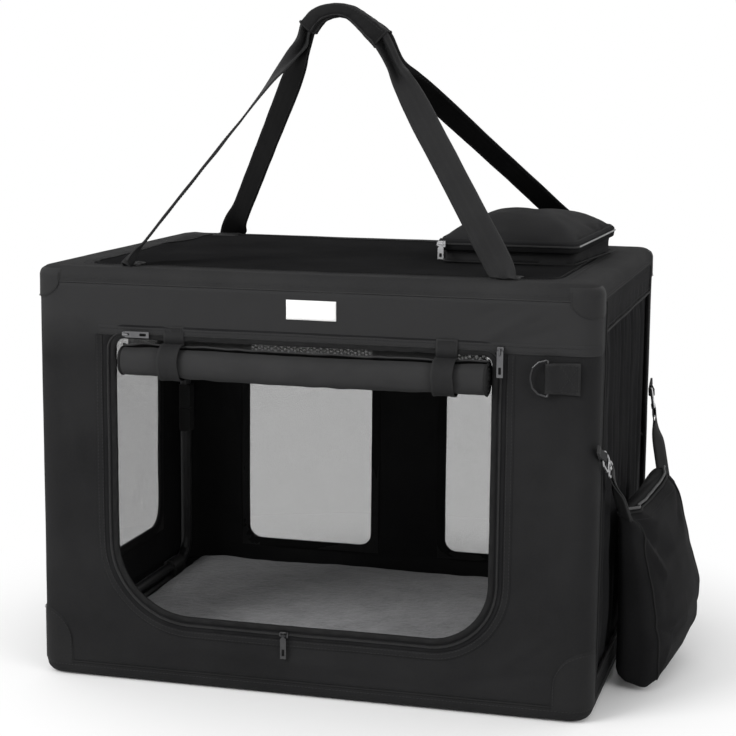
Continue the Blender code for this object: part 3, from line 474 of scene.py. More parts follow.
def mixed(tree, factor, a, b, how="MIX"):
    node = tree.nodes.new("ShaderNodeMix")
    node.data_type = "RGBA"
    node.blend_type = how
    for socket, value in ((node.inputs[0], factor), (node.inputs[6], a), (node.inputs[7], b)):
        if isinstance(value, (int, float)):
            socket.default_value = value
        elif isinstance(value, tuple):
            socket.default_value = (*value, 1)
        else:
            tree.links.new(value, socket)
    return node.outputs[2]


def ranged(tree, value, source=(0, 1), target=(0, 1)):
    node = tree.nodes.new("ShaderNodeMapRange")
    tree.links.new(value, node.inputs[0])
    for k, number in enumerate((*source, *target)):
        node.inputs[k + 1].default_value = number
    return node.outputs[0]


def field(tree, scale, detail, roughness=0.5):  # noise fixed to the piece
    node = add(tree, "ShaderNodeTexNoise", Scale=scale, Detail=detail, Roughness=roughness)
    tree.links.new(add(tree, "ShaderNodeTexCoord").outputs["Object"], node.inputs["Vector"])
    return node.outputs[0]


def mapOf(tree):
    parts = add(tree, "ShaderNodeSeparateXYZ")
    tree.links.new(add(tree, "ShaderNodeUVMap", uv_map="map").outputs[0], parts.inputs[0])
    return parts.outputs[0], parts.outputs[1]


def ridges(tree, low, high, most):  # how much of a ridge each place is
    pointed = add(tree, "ShaderNodeNewGeometry").outputs["Pointiness"]
    return ranged(tree, pointed, (low, high), (0, most))


def bumped(tree, shader, height, strength, distance=1.0):
    bump = add(tree, "ShaderNodeBump", Strength=strength, Distance=distance)
    tree.links.new(height, bump.inputs["Height"])
    tree.links.new(bump.outputs[0], shader.inputs["Normal"])


def shades(look):  # a tone is a neutral grey, or a pair whose second number is its blue
    made = dict(look)
    for key in ("dark", "light", "fleckTone", "wornTone"):
        if isinstance(made.get(key), float):
            made[key] = (made[key],) * 3
        elif key in made and len(made[key]) == 2:
            made[key] = (made[key][0], *made[key])
    return made


plainCloth = dict(
    mottle=9.0, fleck=420.0, rumple=34.0, melange=0.25, threadTone=0.10, wear=0.35, sheen=0.0, gloss=0.07,
    ribs=None, paintedHeaderLight=None,
)


def clothLook(name, look):
    # woven cloth: threads both ways, mottling and pale worn ridges
    look = shades(dict(plainCloth, **look))
    material, tree, shader = nodesOf(name)
    link, calc = tree.links.new, partial(maths, tree)
    u, v = mapOf(tree)
    turn = 2 * math.pi / look["thread"]
    threads = calc("MULTIPLY", calc("SINE", calc("MULTIPLY", u, turn)), calc("SINE", calc("MULTIPLY", v, turn)))
    if look["ribs"]:  # webbing: heavy ribs across, fine chevrons between
        rib = 2 * math.pi / look["ribs"]
        chevrons = calc("MULTIPLY", calc("PINGPONG", u, 0.0045), rib * 0.9)
        slant = calc("ADD", calc("MULTIPLY", v, rib), chevrons)
        threads = calc("ADD", calc("SINE", slant), calc("MULTIPLY", threads, 0.35))
    slow = field(tree, look["mottle"], 4.0, 0.55)
    fine = field(tree, look["fleck"], 2.0, 0.6)
    soft = field(tree, look["rumple"], 3.0)
    ground = tones(tree, slow, 0.32, 0.72, look["dark"], look["light"])
    flecked = mixed(tree, calc("MULTIPLY", fine, look["melange"]), ground, look["fleckTone"])
    if look["paintedHeaderLight"]:  # painted light: a paler tone above a seam stands in for the light that falls on the header
        high, width, tone = look["paintedHeaderLight"]
        sharp = ranged(tree, v, (high - width, high + width))
        faint = ranged(tree, v, (high - 0.030, high + 0.022))
        leftward = ranged(tree, u, (-0.252, -0.276))  # left of the door the painted light fades in gradually
        share = calc("ADD", sharp, calc("MULTIPLY", leftward, calc("SUBTRACT", faint, sharp)))
        above = mixed(tree, calc("MULTIPLY", fine, 0.3), tone, look["fleckTone"])
        flecked = mixed(tree, share, flecked, above)
    weaveTone = calc("ADD", calc("MULTIPLY", threads, look["threadTone"]), 1.0)
    grey = tree.nodes.new("ShaderNodeCombineColor")
    for k in range(3):
        link(weaveTone, grey.inputs[k])
    woven = mixed(tree, 1.0, flecked, grey.outputs[0], "MULTIPLY")
    rubbed = mixed(tree, ridges(tree, 0.53, 0.62, look["wear"]), woven, look["wornTone"])
    link(rubbed, shader.inputs["Base Color"])
    rough = ranged(tree, soft, target=(look["rough"] - 0.07, look["rough"] + 0.06))
    link(rough, shader.inputs["Roughness"])
    rumples = calc("MULTIPLY", soft, look["rumpleDepth"])
    height = calc("ADD", calc("MULTIPLY", threads, look["threadDepth"]), rumples)
    height = calc("ADD", height, calc("MULTIPLY", fine, look["threadDepth"] * 0.6))
    bumped(tree, shader, height, 0.8)
    shader.inputs["Sheen Weight"].default_value = look["sheen"]
    shader.inputs["Sheen Roughness"].default_value = 0.45
    shader.inputs["Specular IOR Level"].default_value = look["gloss"]
    return material


netting = dict(pitch=0.00115, dark=(0.012, 0.012, 0.012), light=(0.022, 0.022, 0.022))


def netLook(name, openAbove):
    # netting: round holes in a honeycomb layout between knitted threads
    material, tree, shader = nodesOf(name)
    link, calc = tree.links.new, partial(maths, tree)
    u, v = mapOf(tree)
    k = 4 * math.pi / (netting["pitch"] * math.sqrt(3))
    half = calc("MULTIPLY", u, k * 0.5)
    tall = calc("MULTIPLY", v, k * math.sqrt(3) / 2)
    one = calc("COSINE", calc("MULTIPLY", u, k))
    two = calc("COSINE", calc("ADD", half, tall))
    three = calc("COSINE", calc("SUBTRACT", half, tall))
    total = calc("ADD", calc("ADD", one, two), three)
    link(calc("SUBTRACT", 1.0, calc("GREATER_THAN", total, openAbove)), shader.inputs["Alpha"])
    slow = field(tree, 14.0, 3.0)
    link(tones(tree, slow, 0.3, 0.7, netting["dark"], netting["light"]), shader.inputs["Base Color"])
    link(ranged(tree, slow, target=(0.6, 0.8)), shader.inputs["Roughness"])
    bumped(tree, shader, total, 0.7, 0.0006)
    return material


plainHard = dict(grain=900.0, grainDepth=0.00004, wear=0.3, metal=0.0)


def hardLook(name, look):
    # plated, coated or moulded parts: fine grain, smears and rubbed edges
    look = shades(dict(plainHard, **look))
    material, tree, shader = nodesOf(name)
    link, calc = tree.links.new, partial(maths, tree)
    slow = field(tree, 40.0, 5.0)
    fine = field(tree, look["grain"], 2.0)
    ground = tones(tree, slow, 0.3, 0.75, look["dark"], look["light"])
    rubbed = mixed(tree, ridges(tree, 0.54, 0.66, look["wear"]), ground, look["wornTone"])
    link(rubbed, shader.inputs["Base Color"])
    rough = ranged(tree, slow, target=(look["rough"] - 0.08, look["rough"] + 0.10))
    link(rough, shader.inputs["Roughness"])
    shader.inputs["Metallic"].default_value = look["metal"]
    smears = calc("MULTIPLY", slow, 0.0002)
    bumped(tree, shader, calc("ADD", calc("MULTIPLY", fine, look["grainDepth"]), smears), 0.6)
    return material


headerSeam = 0.4385  # where the front's header begins; above it the cloth is painted paler, as painted light falling on the header

shellLook = dict(
    thread=0.0011, dark=(0.0088, 0.0092), light=(0.0150, 0.0154), fleckTone=(0.030, 0.031), wornTone=(0.045, 0.046),
    rough=0.80, threadDepth=0.00010, rumpleDepth=0.0006, sheen=0.01,
    # painted light: the paler header tone above the seam
    paintedHeaderLight=(headerSeam, 0.0012, (0.0245, 0.0245, 0.0250)),
)
roofLook = dict(
    thread=0.0011, dark=(0.0085, 0.0088), light=(0.0135, 0.0138), fleckTone=(0.030, 0.031), wornTone=0.05,
    rough=0.80, threadDepth=0.00010, rumpleDepth=0.0007, gloss=0.0,
)
sideLook = dict(
    thread=0.0010, dark=(0.0070, 0.0074), light=(0.0125, 0.0130), fleckTone=(0.026, 0.027), wornTone=(0.035, 0.036),
    rough=0.76, threadDepth=0.00008, rumpleDepth=0.0008, gloss=0.02,
)
patchLook = dict(
    thread=0.0016, dark=(0.0160, 0.0165), light=(0.0230, 0.0235), fleckTone=0.035, wornTone=0.080, rough=0.66,
    threadDepth=0.00006, rumpleDepth=0.0004, sheen=0.01, gloss=0.10, wear=0.5,
)
strapLook = dict(
    thread=0.0012, ribs=0.0019, dark=(0.0085, 0.0090), light=(0.0150, 0.0155), fleckTone=0.034, wornTone=0.045,
    rough=0.66, threadDepth=0.00010, rumpleDepth=0.0003, sheen=0.01, gloss=0.10, threadTone=0.13,
)
coilLook = dict(
    thread=0.0014, ribs=0.0013, dark=(0.010, 0.0104), light=(0.017, 0.0174), fleckTone=0.05, wornTone=0.08,
    rough=0.50, threadDepth=0.00045, rumpleDepth=0.0001, gloss=0.22, threadTone=0.45,
)

shellCloth = clothLook("shell cloth", shellLook)
roofCloth = clothLook("roof cloth", roofLook)
marginCloth = clothLook("margin cloth", dict(
    thread=0.0013, dark=(0.019, 0.0195), light=(0.027, 0.0275), fleckTone=0.045, wornTone=0.07, rough=0.78,
    threadDepth=0.00010, rumpleDepth=0.0005, gloss=0.02,
))
sideCloth = clothLook("side cloth", sideLook)
patchCloth = clothLook("corner patch cloth", patchLook)
bindingTape = clothLook("binding tape", dict(
    thread=0.0012, ribs=0.0014, dark=(0.0065, 0.0068), light=(0.0115, 0.0118), fleckTone=0.026, wornTone=0.035,
    rough=0.72, threadDepth=0.00008, rumpleDepth=0.0003, gloss=0.06,
))
strapWebbing = clothLook("strap webbing", strapLook)
# painted shade: a darker copy of the strap webbing for the rear strap, which faces away from the light
paintedShadeWebbing = clothLook("rear strap webbing, painted shade", dict(
    strapLook, gloss=0.03, threadTone=0.10, sheen=0.0, dark=(0.0035, 0.0036), light=(0.0065, 0.0067),
    fleckTone=0.015, wornTone=0.02,
))
matFleece = clothLook("mat fleece", dict(
    thread=0.0040, dark=(0.112, 0.116), light=(0.196, 0.202), fleckTone=(0.32, 0.33), wornTone=0.28, rough=0.93,
    threadDepth=0.00035, rumpleDepth=0.0035, sheen=0.25, mottle=30.0, fleck=260.0, rumple=120.0, melange=0.5,
    threadTone=0.05,
))
pipingCloth = clothLook("piping", dict(
    thread=0.0010, ribs=0.0016, dark=(0.0085, 0.0088), light=(0.0140, 0.0144), fleckTone=0.024, wornTone=0.030,
    rough=0.68, threadDepth=0.00008, rumpleDepth=0.0002, gloss=0.05,
))
zipCoil = clothLook("zip coil", coilLook)
zipCoilSilver = clothLook("silver zip coil", dict(
    coilLook, gloss=0.5, dark=(0.16, 0.165), light=(0.30, 0.305), fleckTone=0.6, wornTone=0.6, rough=0.32,
))
labelCloth = clothLook("blank label", dict(
    thread=0.0006, dark=(0.70, 0.69), light=(0.80, 0.79), fleckTone=0.86, wornTone=0.9, rough=0.50,
    threadDepth=0.00002, rumpleDepth=0.0002, sheen=0.02,
))
hatchZip = clothLook("roof hatch coil", dict(
    coilLook, dark=(0.0050, 0.0052), light=(0.0085, 0.0087), fleckTone=0.016, wornTone=0.020, gloss=0.05, rough=0.7,
))
lowPatchCloth = clothLook("low corner patch cloth", dict(
    patchLook, dark=(0.0095, 0.0099), light=(0.0140, 0.0144), gloss=0.07, wear=0.3,
))
pouchCloth = clothLook("pouch cloth", dict(
    sideLook, dark=(0.0045, 0.0048), light=(0.0085, 0.0089), rumpleDepth=0.0011, gloss=0.06,
))
thread = clothLook("sewing thread", dict(
    shellLook, dark=(0.013, 0.0133), light=(0.020, 0.0204), paintedHeaderLight=None, threadDepth=0.00003,
))
pocketCloth = clothLook("pocket cloth", dict(roofLook, dark=(0.0135, 0.0139), light=(0.0200, 0.0205), gloss=0.05))
# painted highlight: the roll's cloth is painted paler than the walls' to stand in for the light on the roll
rollClothPaintedHighlight = clothLook("rolled door cloth, painted highlight", dict(
    shellLook, paintedHeaderLight=None, dark=(0.0170, 0.0174), light=(0.0260, 0.0265), gloss=0.16,
))
windowNet = netLook("window net", 0.12)
edgeNet = netLook("door edge net", 1.9)
pouchCoil = clothLook("pouch zip coil", dict(
    coilLook, dark=(0.045, 0.046), light=(0.085, 0.087), fleckTone=0.16, wornTone=0.20, gloss=0.3,
))
sideNet = netLook("side window net", 0.62)
gunMetal = hardLook("dark plated metal", dict(
    dark=(0.10, 0.105), light=(0.17, 0.175), wornTone=0.35, rough=0.30, metal=1.0, grainDepth=0.00002,
))
blackMetal = hardLook("black plated metal", dict(
    dark=(0.030, 0.031), light=(0.055, 0.057), wornTone=0.22, rough=0.34, metal=0.9, grainDepth=0.00002,
))
hookSteel = hardLook("hook steel", dict(
    dark=(0.24, 0.245), light=(0.38, 0.385), wornTone=0.70, rough=0.30, metal=1.0, grainDepth=0.00002,
))
silver = hardLook("plated metal", dict(
    dark=(0.50, 0.51), light=(0.68, 0.69), wornTone=0.85, rough=0.27, metal=1.0, grainDepth=0.00002,
))
coatedSteel = hardLook("coated steel", dict(
    dark=(0.016, 0.017), light=(0.026, 0.027), wornTone=0.14, rough=0.38, metal=0.2, wear=0.25,
))
mouldedPlastic = hardLook("moulded plastic", dict(
    dark=0.012, light=0.020, wornTone=0.06, rough=0.46, grain=600.0, grainDepth=0.00008,
))
boardStiff = hardLook("fibre board", dict(
    dark=(0.022, 0.021, 0.020), light=(0.036, 0.035, 0.033), wornTone=(0.09, 0.08), rough=0.70, grain=300.0,
    grainDepth=0.00015,
))
print("finishes ready")


# front and back walls

wall = dict(
    length=0.35, depth=0.26, corner=0.028, end=0.2125,   # plan, to the cloth's outer face
    low=0.0203, high=0.4997, thick=0.0024, grid=0.0048,
    slow=0.0021, quick=0.0006,                            # how far it swells and ruffles
)
wallArc = wall["corner"] * math.pi / 2
wallFlat = wall["length"] - wall["corner"]
wallReach = wallFlat + wallArc + (wall["depth"] - wall["corner"] - wall["end"])  # half its length round the corners

frontCreases = [  # from x, z to x, z; how wide; how deep
    (-0.335, 0.492, -0.290, 0.455, 0.0035, 0.0022),
    (-0.345, 0.470, -0.300, 0.447, 0.0045, -0.0018),
    (0.285, 0.492, 0.215, 0.452, 0.0045, 0.0022),
    (0.300, 0.468, 0.235, 0.447, 0.0040, -0.0020),
    (0.250, 0.498, 0.205, 0.478, 0.0040, -0.0016),
    (-0.300, 0.110, -0.255, 0.070, 0.0060, 0.0018),
    (0.300, 0.105, 0.240, 0.060, 0.0060, 0.0020),
    (0.310, 0.060, 0.200, 0.040, 0.0070, -0.0016),
    (-0.310, 0.360, -0.285, 0.250, 0.0080, 0.0016),
    (-0.325, 0.300, -0.300, 0.180, 0.0090, -0.0014),
    (0.290, 0.330, 0.262, 0.210, 0.0080, 0.0016),
    (0.325, 0.260, 0.300, 0.120, 0.0090, -0.0014),
    (-0.150, 0.052, 0.120, 0.040, 0.0060, 0.0018),
    (-0.040, 0.068, 0.180, 0.060, 0.0050, -0.0012),
]


def wallSwell(side, s, z):
    held = ease(0, 0.02, z - wall["low"]) * ease(0, 0.012, wall["high"] - z)
    held *= 1 - 0.75 * ease(wallFlat - 0.03, wallFlat, abs(s)) * (1 - 0.5 * ease(wallFlat + wallArc, wallReach, abs(s)))
    seed = 1 if side < 0 else 4
    out = wall["slow"] * swell(s, z, 0.16, seed) + wall["slow"] * 0.5 * swell(s, z, 0.06, seed + 1)
    out += wall["quick"] * swell(s, z * 0.6, 0.022, seed + 2)
    for line in frontCreases:
        out += crease(s if side < 0 else -s, z, line)
    if side < 0:
        # sinks in at the header's seam
        out -= 0.0012 * math.exp(-((z - headerSeam) / 0.0035) ** 2) * ease(-0.275, -0.255, s)
    return max(-0.0026, out) * held


def onWall(side, s, z, lift=0.0):
    far, sign = abs(s), -1 if s < 0 else 1
    bend, inner = wall["corner"], wall["depth"] - wall["corner"]
    if far <= wallFlat:
        p, n = Vector((s, -wall["depth"], z)), Vector((0, -1, 0))
    elif far <= wallFlat + wallArc:
        a = (far - wallFlat) / bend
        p = Vector((sign * (wallFlat + bend * math.sin(a)), -(inner + bend * math.cos(a)), z))
        n = Vector((sign * math.sin(a), -math.cos(a), 0))
    else:
        past = far - wallFlat - wallArc
        p, n = Vector((sign * wall["length"], -inner + past, z)), Vector((sign, 0, 0))
    p += n * (lift + wallSwell(side, s, z))
    if side > 0:
        p.y = -p.y
    return p


def onFront(s, z, lift=0.0):
    return onWall(-1, s, z, lift)


def onBack(s, z, lift=0.0):
    return onWall(1, s, z, lift)


def steps(low, high, size):
    count = max(1, round((high - low) / size))
    return [low + (high - low) * k / count for k in range(count + 1)]


door = dict(left=-0.243, right=0.228, low=0.088, high=0.436, bends=(0.095, 0.072, 0.012, 0.012))
backWindow = dict(inner=0.052, outer=0.250, low=0.056, high=0.430, bend=0.022)


def doorLine(out, outTop=None):
    top = door["high"] + (out if outTop is None else outTop)
    bends = [max(0.003, b + out) for b in door["bends"]]
    return roundRect(door["left"] - out, door["low"] - out, door["right"] + out, top, bends, 12)


def backLine(side, out):
    inner, outer = side * (backWindow["inner"] - out), side * (backWindow["outer"] + out)
    bend = backWindow["bend"] + out
    return roundRect(min(inner, outer), backWindow["low"] - out, max(inner, outer), backWindow["high"] + out, bend)


wallAcross = steps(-wallReach, wallReach, wall["grid"])
wallUp = steps(wall["low"], wall["high"], wall["grid"])
for name, node, place, openings, toward, area in (
        ("frontWall", "front_wall", onFront, [doorLine(0)], (0, -1, 0), 0.214),
        ("backWall", "back_wall", onBack, [backLine(-1, 0), backLine(1, 0)], (0, 1, 0), 0.223)):
    cloth = panel(name, wallAcross, wallUp, place, openings, shellCloth, toward, wall["thick"])
    crumples(cloth, node)

backHem = dict(  # profiles from the opening's edge outward, the net behind it and the row of stitches
    outer=((-0.004, -0.0026), (-0.0042, 0.0004), (-0.003, 0.0014), (0.001, 0.0017), (0.006, 0.0015), (0.0095, 0.0010),
           (0.0105, 0.0002)),
    inner=((-0.004, 0.0013), (0.004, 0.0014), (0.0085, 0.0010), (0.0095, -0.0004)),
    net=0.007, netGrid=0.008, stitches=0.0085,
)


def backNetPoint(s, z):
    return onBack(s, z, -0.0033 + 0.0014 * swell(s, z, 0.09, 9))


def behind(place):  # the inner face of the wall that place lays things on
    return lambda s, z, lift: place(s, z, -wall["thick"] - lift)


for side, word in ((-1, "Left"), (1, "Right")):
    low, high = backWindow["low"] - backHem["net"], backWindow["high"] + backHem["net"]
    a, b = sorted(side * x for x in (backWindow["inner"] - backHem["net"], backWindow["outer"] + backHem["net"]))
    across, up = steps(a, b, backHem["netGrid"]), steps(low, high, backHem["netGrid"])
    net = panel("backNet" + word, across, up, backNetPoint, [], windowNet, (0, 1, 0))
    crumples(net, "back_window_" + word.lower(), slot="mesh")
    edge = backLine(side, 0)
    crumples(bandAlong("backHem" + word, edge, onBack, bindingTape, backHem["outer"], toward=(0, 1, 0)), slot="webbing")
    crumples(bandAlong("backHemInner" + word, edge, behind(onBack), bindingTape, backHem["inner"]), slot="webbing")
    line = [onBack(p.x, p.y, 0.0016) for p in evenOutline(backLine(side, backHem["stitches"]), 0.004)]
    crumples(sewn("backStitches" + word, [line], (0, 1, 0)), slot="webbing")
print("walls ready")

# edge cords down the ends of both walls
for side, word in ((-1, "Front"), (1, "Back")):
    for end, endWord in ((-1, "Left"), (1, "Right")):
        edges = []
        for inset, short in ((0, 0.002), (0.0075, 0.004)):  # the cord's line, and its stitches'
            heights = steps(wall["low"] + short, wall["high"] - short, 0.008)
            edges.append([onWall(side, end * (wallReach - inset), z, 0.0002) for z in heights])
        crumples(cordRound("wallEdge" + word + endWord, edges[0], 0.0016, pipingCloth), slot="webbing")
        crumples(sewn("wallEdgeStitches" + word + endWord, edges[1:], (end, 0, 0)), slot="webbing")

# header seam on the front: a folded edge with two rows of stitches
header = dict(
    left=-0.264, right=0.360, stitches=(0.0022, 0.0082),
    fold=((0.0115, 0.0001), (0.0095, 0.0010), (0.0030, 0.0014), (0.0008, 0.0016), (-0.0008, 0.0013), (-0.0014, 0.0001)),
)


def alongHeader(above, lift):
    places = steps(header["left"], header["right"], 0.005)
    return [onFront(s, headerSeam + above + 0.0007 * swell(s, 0, 0.05, 3), lift) for s in places]


rows = [alongHeader(above, lift) for above, lift in header["fold"]]
headerFold = sheet("headerFold", rows, shellCloth, toward=(0, -1, 0))
# the fold's map is raised so that it takes the header's painted light
for layer in headerFold.data.uv_layers:
    for loop in headerFold.data.loops:
        p = headerFold.data.vertices[loop.vertex_index].co
        layer.data[loop.index].uv = (p.x, p.z + 0.004)
crumples(headerFold)
for k, above in enumerate(header["stitches"]):
    crumples(sewn("headerStitches" + str(k), [alongHeader(above, 0.0016)], (0, -1, 0)), slot="webbing")

# blank label on the header
label = dict(left=-0.0235, right=0.0385, low=0.4665, high=0.4900, lift=0.0009, grid=0.003, hem=0.0016)
rows = []
for z in steps(label["low"], label["high"], label["grid"]):
    places = steps(label["left"], label["right"], label["grid"])
    rows.append([onFront(s, z, label["lift"] + 0.0005 * swell(s, z, 0.02, 12)) for s in places])
crumples(sheet("blankLabel", rows, labelCloth, toward=(0, -1, 0), thick=0.0007))
hem = label["hem"]
ring = roundRect(label["left"] + hem, label["low"] + hem, label["right"] - hem, label["high"] - hem, 0.001, 2)
line = [onFront(p.x, p.y, label["lift"] + 0.0004) for p in evenOutline(ring, label["grid"])]
crumples(sewn("labelStitches", [line], (0, -1, 0), labelCloth))

# door surround: hem, tapes and zip round the opening


def hemLift(k, q):
    return 0.0023 + 0.0007 * math.sin(k * 0.9 + 2.5 * swell(q.x, q.y, 0.05, 6)) + 0.0005 * swell(q.x, q.y, 0.012, 7)


def bindLift(k, q):
    return 0.0011 + 0.0003 * swell(q.x, q.y, 0.018, 8) + 0.00025 * math.sin(k * 1.3)


surround = dict(
    coil=0.0085, coilTop=0.0046, coilWide=0.0017,
    hem=((-0.0012, -0.0027), (-0.0022, -0.0012), (-0.0018, 0.0012), (0.0004, hemLift), (0.0028, hemLift),
         (0.0048, 0.0012), (0.0056, 0.0001)),
    hemInner=((-0.0012, 0.0003), (-0.0004, 0.0012), (0.006, 0.0013), (0.012, 0.0009), (0.013, -0.0004)),
    tape=((0.0052, 0.0001), (0.0056, 0.0006), (0.0100, 0.0007), (0.0145, 0.0007), (0.0150, 0.0001)),
    binding=((0.0008, 0.0001), (0.0, 0.0009), (-0.0020, bindLift), (-0.0050, bindLift), (-0.0080, 0.0012),
        (-0.0088, 0.0002)),
    bindOut=0.0245, bindTop=0.445, bindHighest=0.4372, bindBends=(0.1195, 0.0965, 0.0, 0.0), stitches=(0.0018, 0.0072),
)
edge, inner = doorLine(0), behind(onFront)
crumples(bandAlong("doorHem", edge, onFront, bindingTape, surround["hem"]), slot="webbing")
crumples(bandAlong("doorHemInner", edge, inner, bindingTape, surround["hemInner"], toward=(0, 1, 0)), slot="webbing")
crumples(bandAlong("doorTape", edge, onFront, sideCloth, surround["tape"], step=0.005), slot="webbing")
zipLine = evenOutline(doorLine(surround["coil"], surround["coilTop"]), 0.0035)
line = [onFront(p.x, p.y, 0.0009) for p in zipLine]
crumples(cordRound("doorCoil", line, surround["coilWide"], zipCoil, 10, True, 0.8), slot="zip_metal")
out = surround["bindOut"]
ring = roundRect(door["left"] - out, door["low"] - out, door["right"] + out, surround["bindTop"],
    surround["bindBends"], 14)
bound = [(x, min(z, surround["bindHighest"])) for x, z in ring[-1:] + ring[:-1]]
binding = bandAlong("doorBinding", bound, onFront, shellCloth, surround["binding"], closed=False, step=0.005)
crumples(binding)
line = evenOutline(bound, 0.004, False)
seams = []
for inset in surround["stitches"]:
    seam = []
    for k, p in enumerate(line):
        run = runAt(line, k)
        q = p - Vector((run.y, -run.x, 0)) * inset
        seam.append(onFront(q.x, q.y, 0.0014))
    seams.append(seam)
crumples(sewn("doorStitches", seams, (0, -1, 0)), slot="webbing")
print("door surround ready")

# rolled door and its ties

roll = dict(
    left=-0.231, right=0.222, y=-0.263, z=0.4085, radius=0.0225, core=0.0052, turns=3.3, thick=0.0022,
    start=math.radians(81), layers=150, ties=(-0.166, 0.172),
)


def rollCentre(x):
    t = (x - roll["left"]) / (roll["right"] - roll["left"])
    return roll["y"] - 0.0012 * math.sin(math.pi * t), roll["z"] - 0.0022 * math.sin(math.pi * t) + 0.0012 * (0.5 - t)


def rollPoint(x, share):
    t = (x - roll["left"]) / (roll["right"] - roll["left"])
    y0, z0 = rollCentre(x)
    angle = roll["start"] - 2 * math.pi * roll["turns"] * (1 - share)
    outer = roll["radius"] - roll["thick"] / 2
    outer *= 1 - 0.10 * ease(0.09, 0.0, t) + 0.02 * ease(0.9, 1.0, t)
    for tie in roll["ties"]:
        outer -= 0.0016 * math.exp(-((x - tie) / 0.017) ** 2)
    radius = roll["core"] + (outer - roll["core"]) * share
    skin = ease(0.55, 0.9, share)
    ruck = 0.0009 * swell(x * 2.2 + angle * 0.012, angle * 0.05, 0.05, 14) + 0.0007 * swell(x, angle * 0.03, 0.014, 15)
    ruck += 0.0011 * math.sin(x * 95 + angle * 1.3) * math.exp(-((x - roll["left"]) / 0.05) ** 2)
    ruck += 0.0007 * math.sin(x * 60 - angle * 1.6) * math.exp(-((x - roll["right"]) / 0.06) ** 2)
    radius += ruck * skin
    squeeze = 1 - 0.05 * math.cos(2 * angle)
    slip = 0.0016 * swell(angle * 0.02, share, 0.2, 16) * (1 if x < 0 else -1) * (abs(t - 0.5) > 0.49)
    return Vector((x + slip, y0 + radius * squeeze * math.cos(angle), z0 + radius * math.sin(angle)))


def spiral(x, every=1):
    return [rollPoint(x, n / roll["layers"]) for n in range(0, roll["layers"] + 1, every)]


rows = [spiral(x) for x in steps(roll["left"], roll["right"], 0.0045)]
rolledDoor = sheet("rolledDoor", rows, rollClothPaintedHighlight, toward=(0, 0, 1))
faces = rolledDoor.data.polygons
if sum(f.normal.dot(f.center - Vector((f.center.x, roll["y"], roll["z"]))) for f in faces) < 0:
    rolledDoor.data.flip_normals()
thicken(rolledDoor, roll["thick"])
crumples(rolledDoor, "door_roll")
round(lengthsAlong(spiral(0))[-1], 3)
for end, word in ((roll["left"], "Left"), (roll["right"], "Right")):  # the rolled edge's hem
    crumples(cordRound("rollHem" + word, spiral(end, 2), 0.00165, bindingTape, 7), slot="webbing")
rows = []  # the door's net edge, from the roll up behind the header
for share in steps(0, 1, 0.125):
    row = []
    for x in steps(roll["left"] + 0.003, roll["right"] - 0.003, 0.0045):
        low, high = rollPoint(x, 0.985), Vector((x, -wall["depth"] + 0.0046, 0.4425))
        bow = 0.0012 * math.sin(math.pi * share) + 0.0004 * swell(x, share * 0.02, 0.03, 17)
        row.append(low.lerp(high, share) + Vector((0, bow, 0)))
    rows.append(row)
doorNetEdge = crumples(sheet("doorNetEdge", rows, edgeNet, toward=(0, -1, 0)), slot="mesh")


tieBand = dict(
    half=0.013, thick=0.0014, start=((0.0016, 0.4515), (0.0016, 0.4440), (0.0034, 0.4365)),  # how far out, how high
    turn=(84, 336), parts=48, box=(0.0105, 0.4400, 0.4500),
)


def makeTie(name, node, middle):
    y0, z0 = rollCentre(middle)
    path = [Vector((0, -wall["depth"] - out, z)) for out, z in tieBand["start"]]
    start, turn = tieBand["turn"]
    for k in range(tieBand["parts"] + 1):  # over the front of the roll, under it and up behind
        a = math.radians(start + k * turn / tieBand["parts"])
        radius = roll["radius"] - 0.0003 + 0.0006 * ease(40, 48, k)
        path.append(Vector((0, y0 + radius * math.cos(a), z0 + radius * math.sin(a))))
    path = smoothLine(path, 2)
    rows = []
    for k, p in enumerate(path):
        run = runAt(path, k)
        out = Vector((0, run.z, -run.y))
        if out.dot(p - Vector((0, y0, z0))) < 0:
            out = -out
        row = []
        for t in [-1 + n / 4 for n in range(9)]:
            q = p + Vector((middle + tieBand["half"] * t + 0.0010 * swell(k * 0.01, 0, 0.1, 18), 0, 0))
            row.append(q + out * (0.0007 * t * t + 0.0004 * swell(k * 0.008, t, 0.3, 19)))
        rows.append(row)
    band = sheet(name, rows, strapWebbing, toward=(0, -1, 0.4))
    hub = Vector((middle, y0, z0))
    if sum(f.normal.dot(f.center - hub) for f in band.data.polygons) < 0:
        band.data.flip_normals()
    thicken(band, tieBand["thick"])
    crumples(band, node, slot="webbing")
    half, low, high = tieBand["box"]
    ring = roundRect(middle - half, low, middle + half, high, 0)
    line = evenly([(x, -wall["depth"] - 0.0022, z) for x, z in ring], 0.002, True)
    crumples(sewn(name + "Stitches", [line + line[:1]], (0, -1, 0)), slot="webbing")


for word, middle in zip(("Left", "Right"), roll["ties"]):
    makeTie("rollTie" + word, "roll_tie_" + word.lower(), middle)
print("rolled door ready")

# webbing tab with its ring

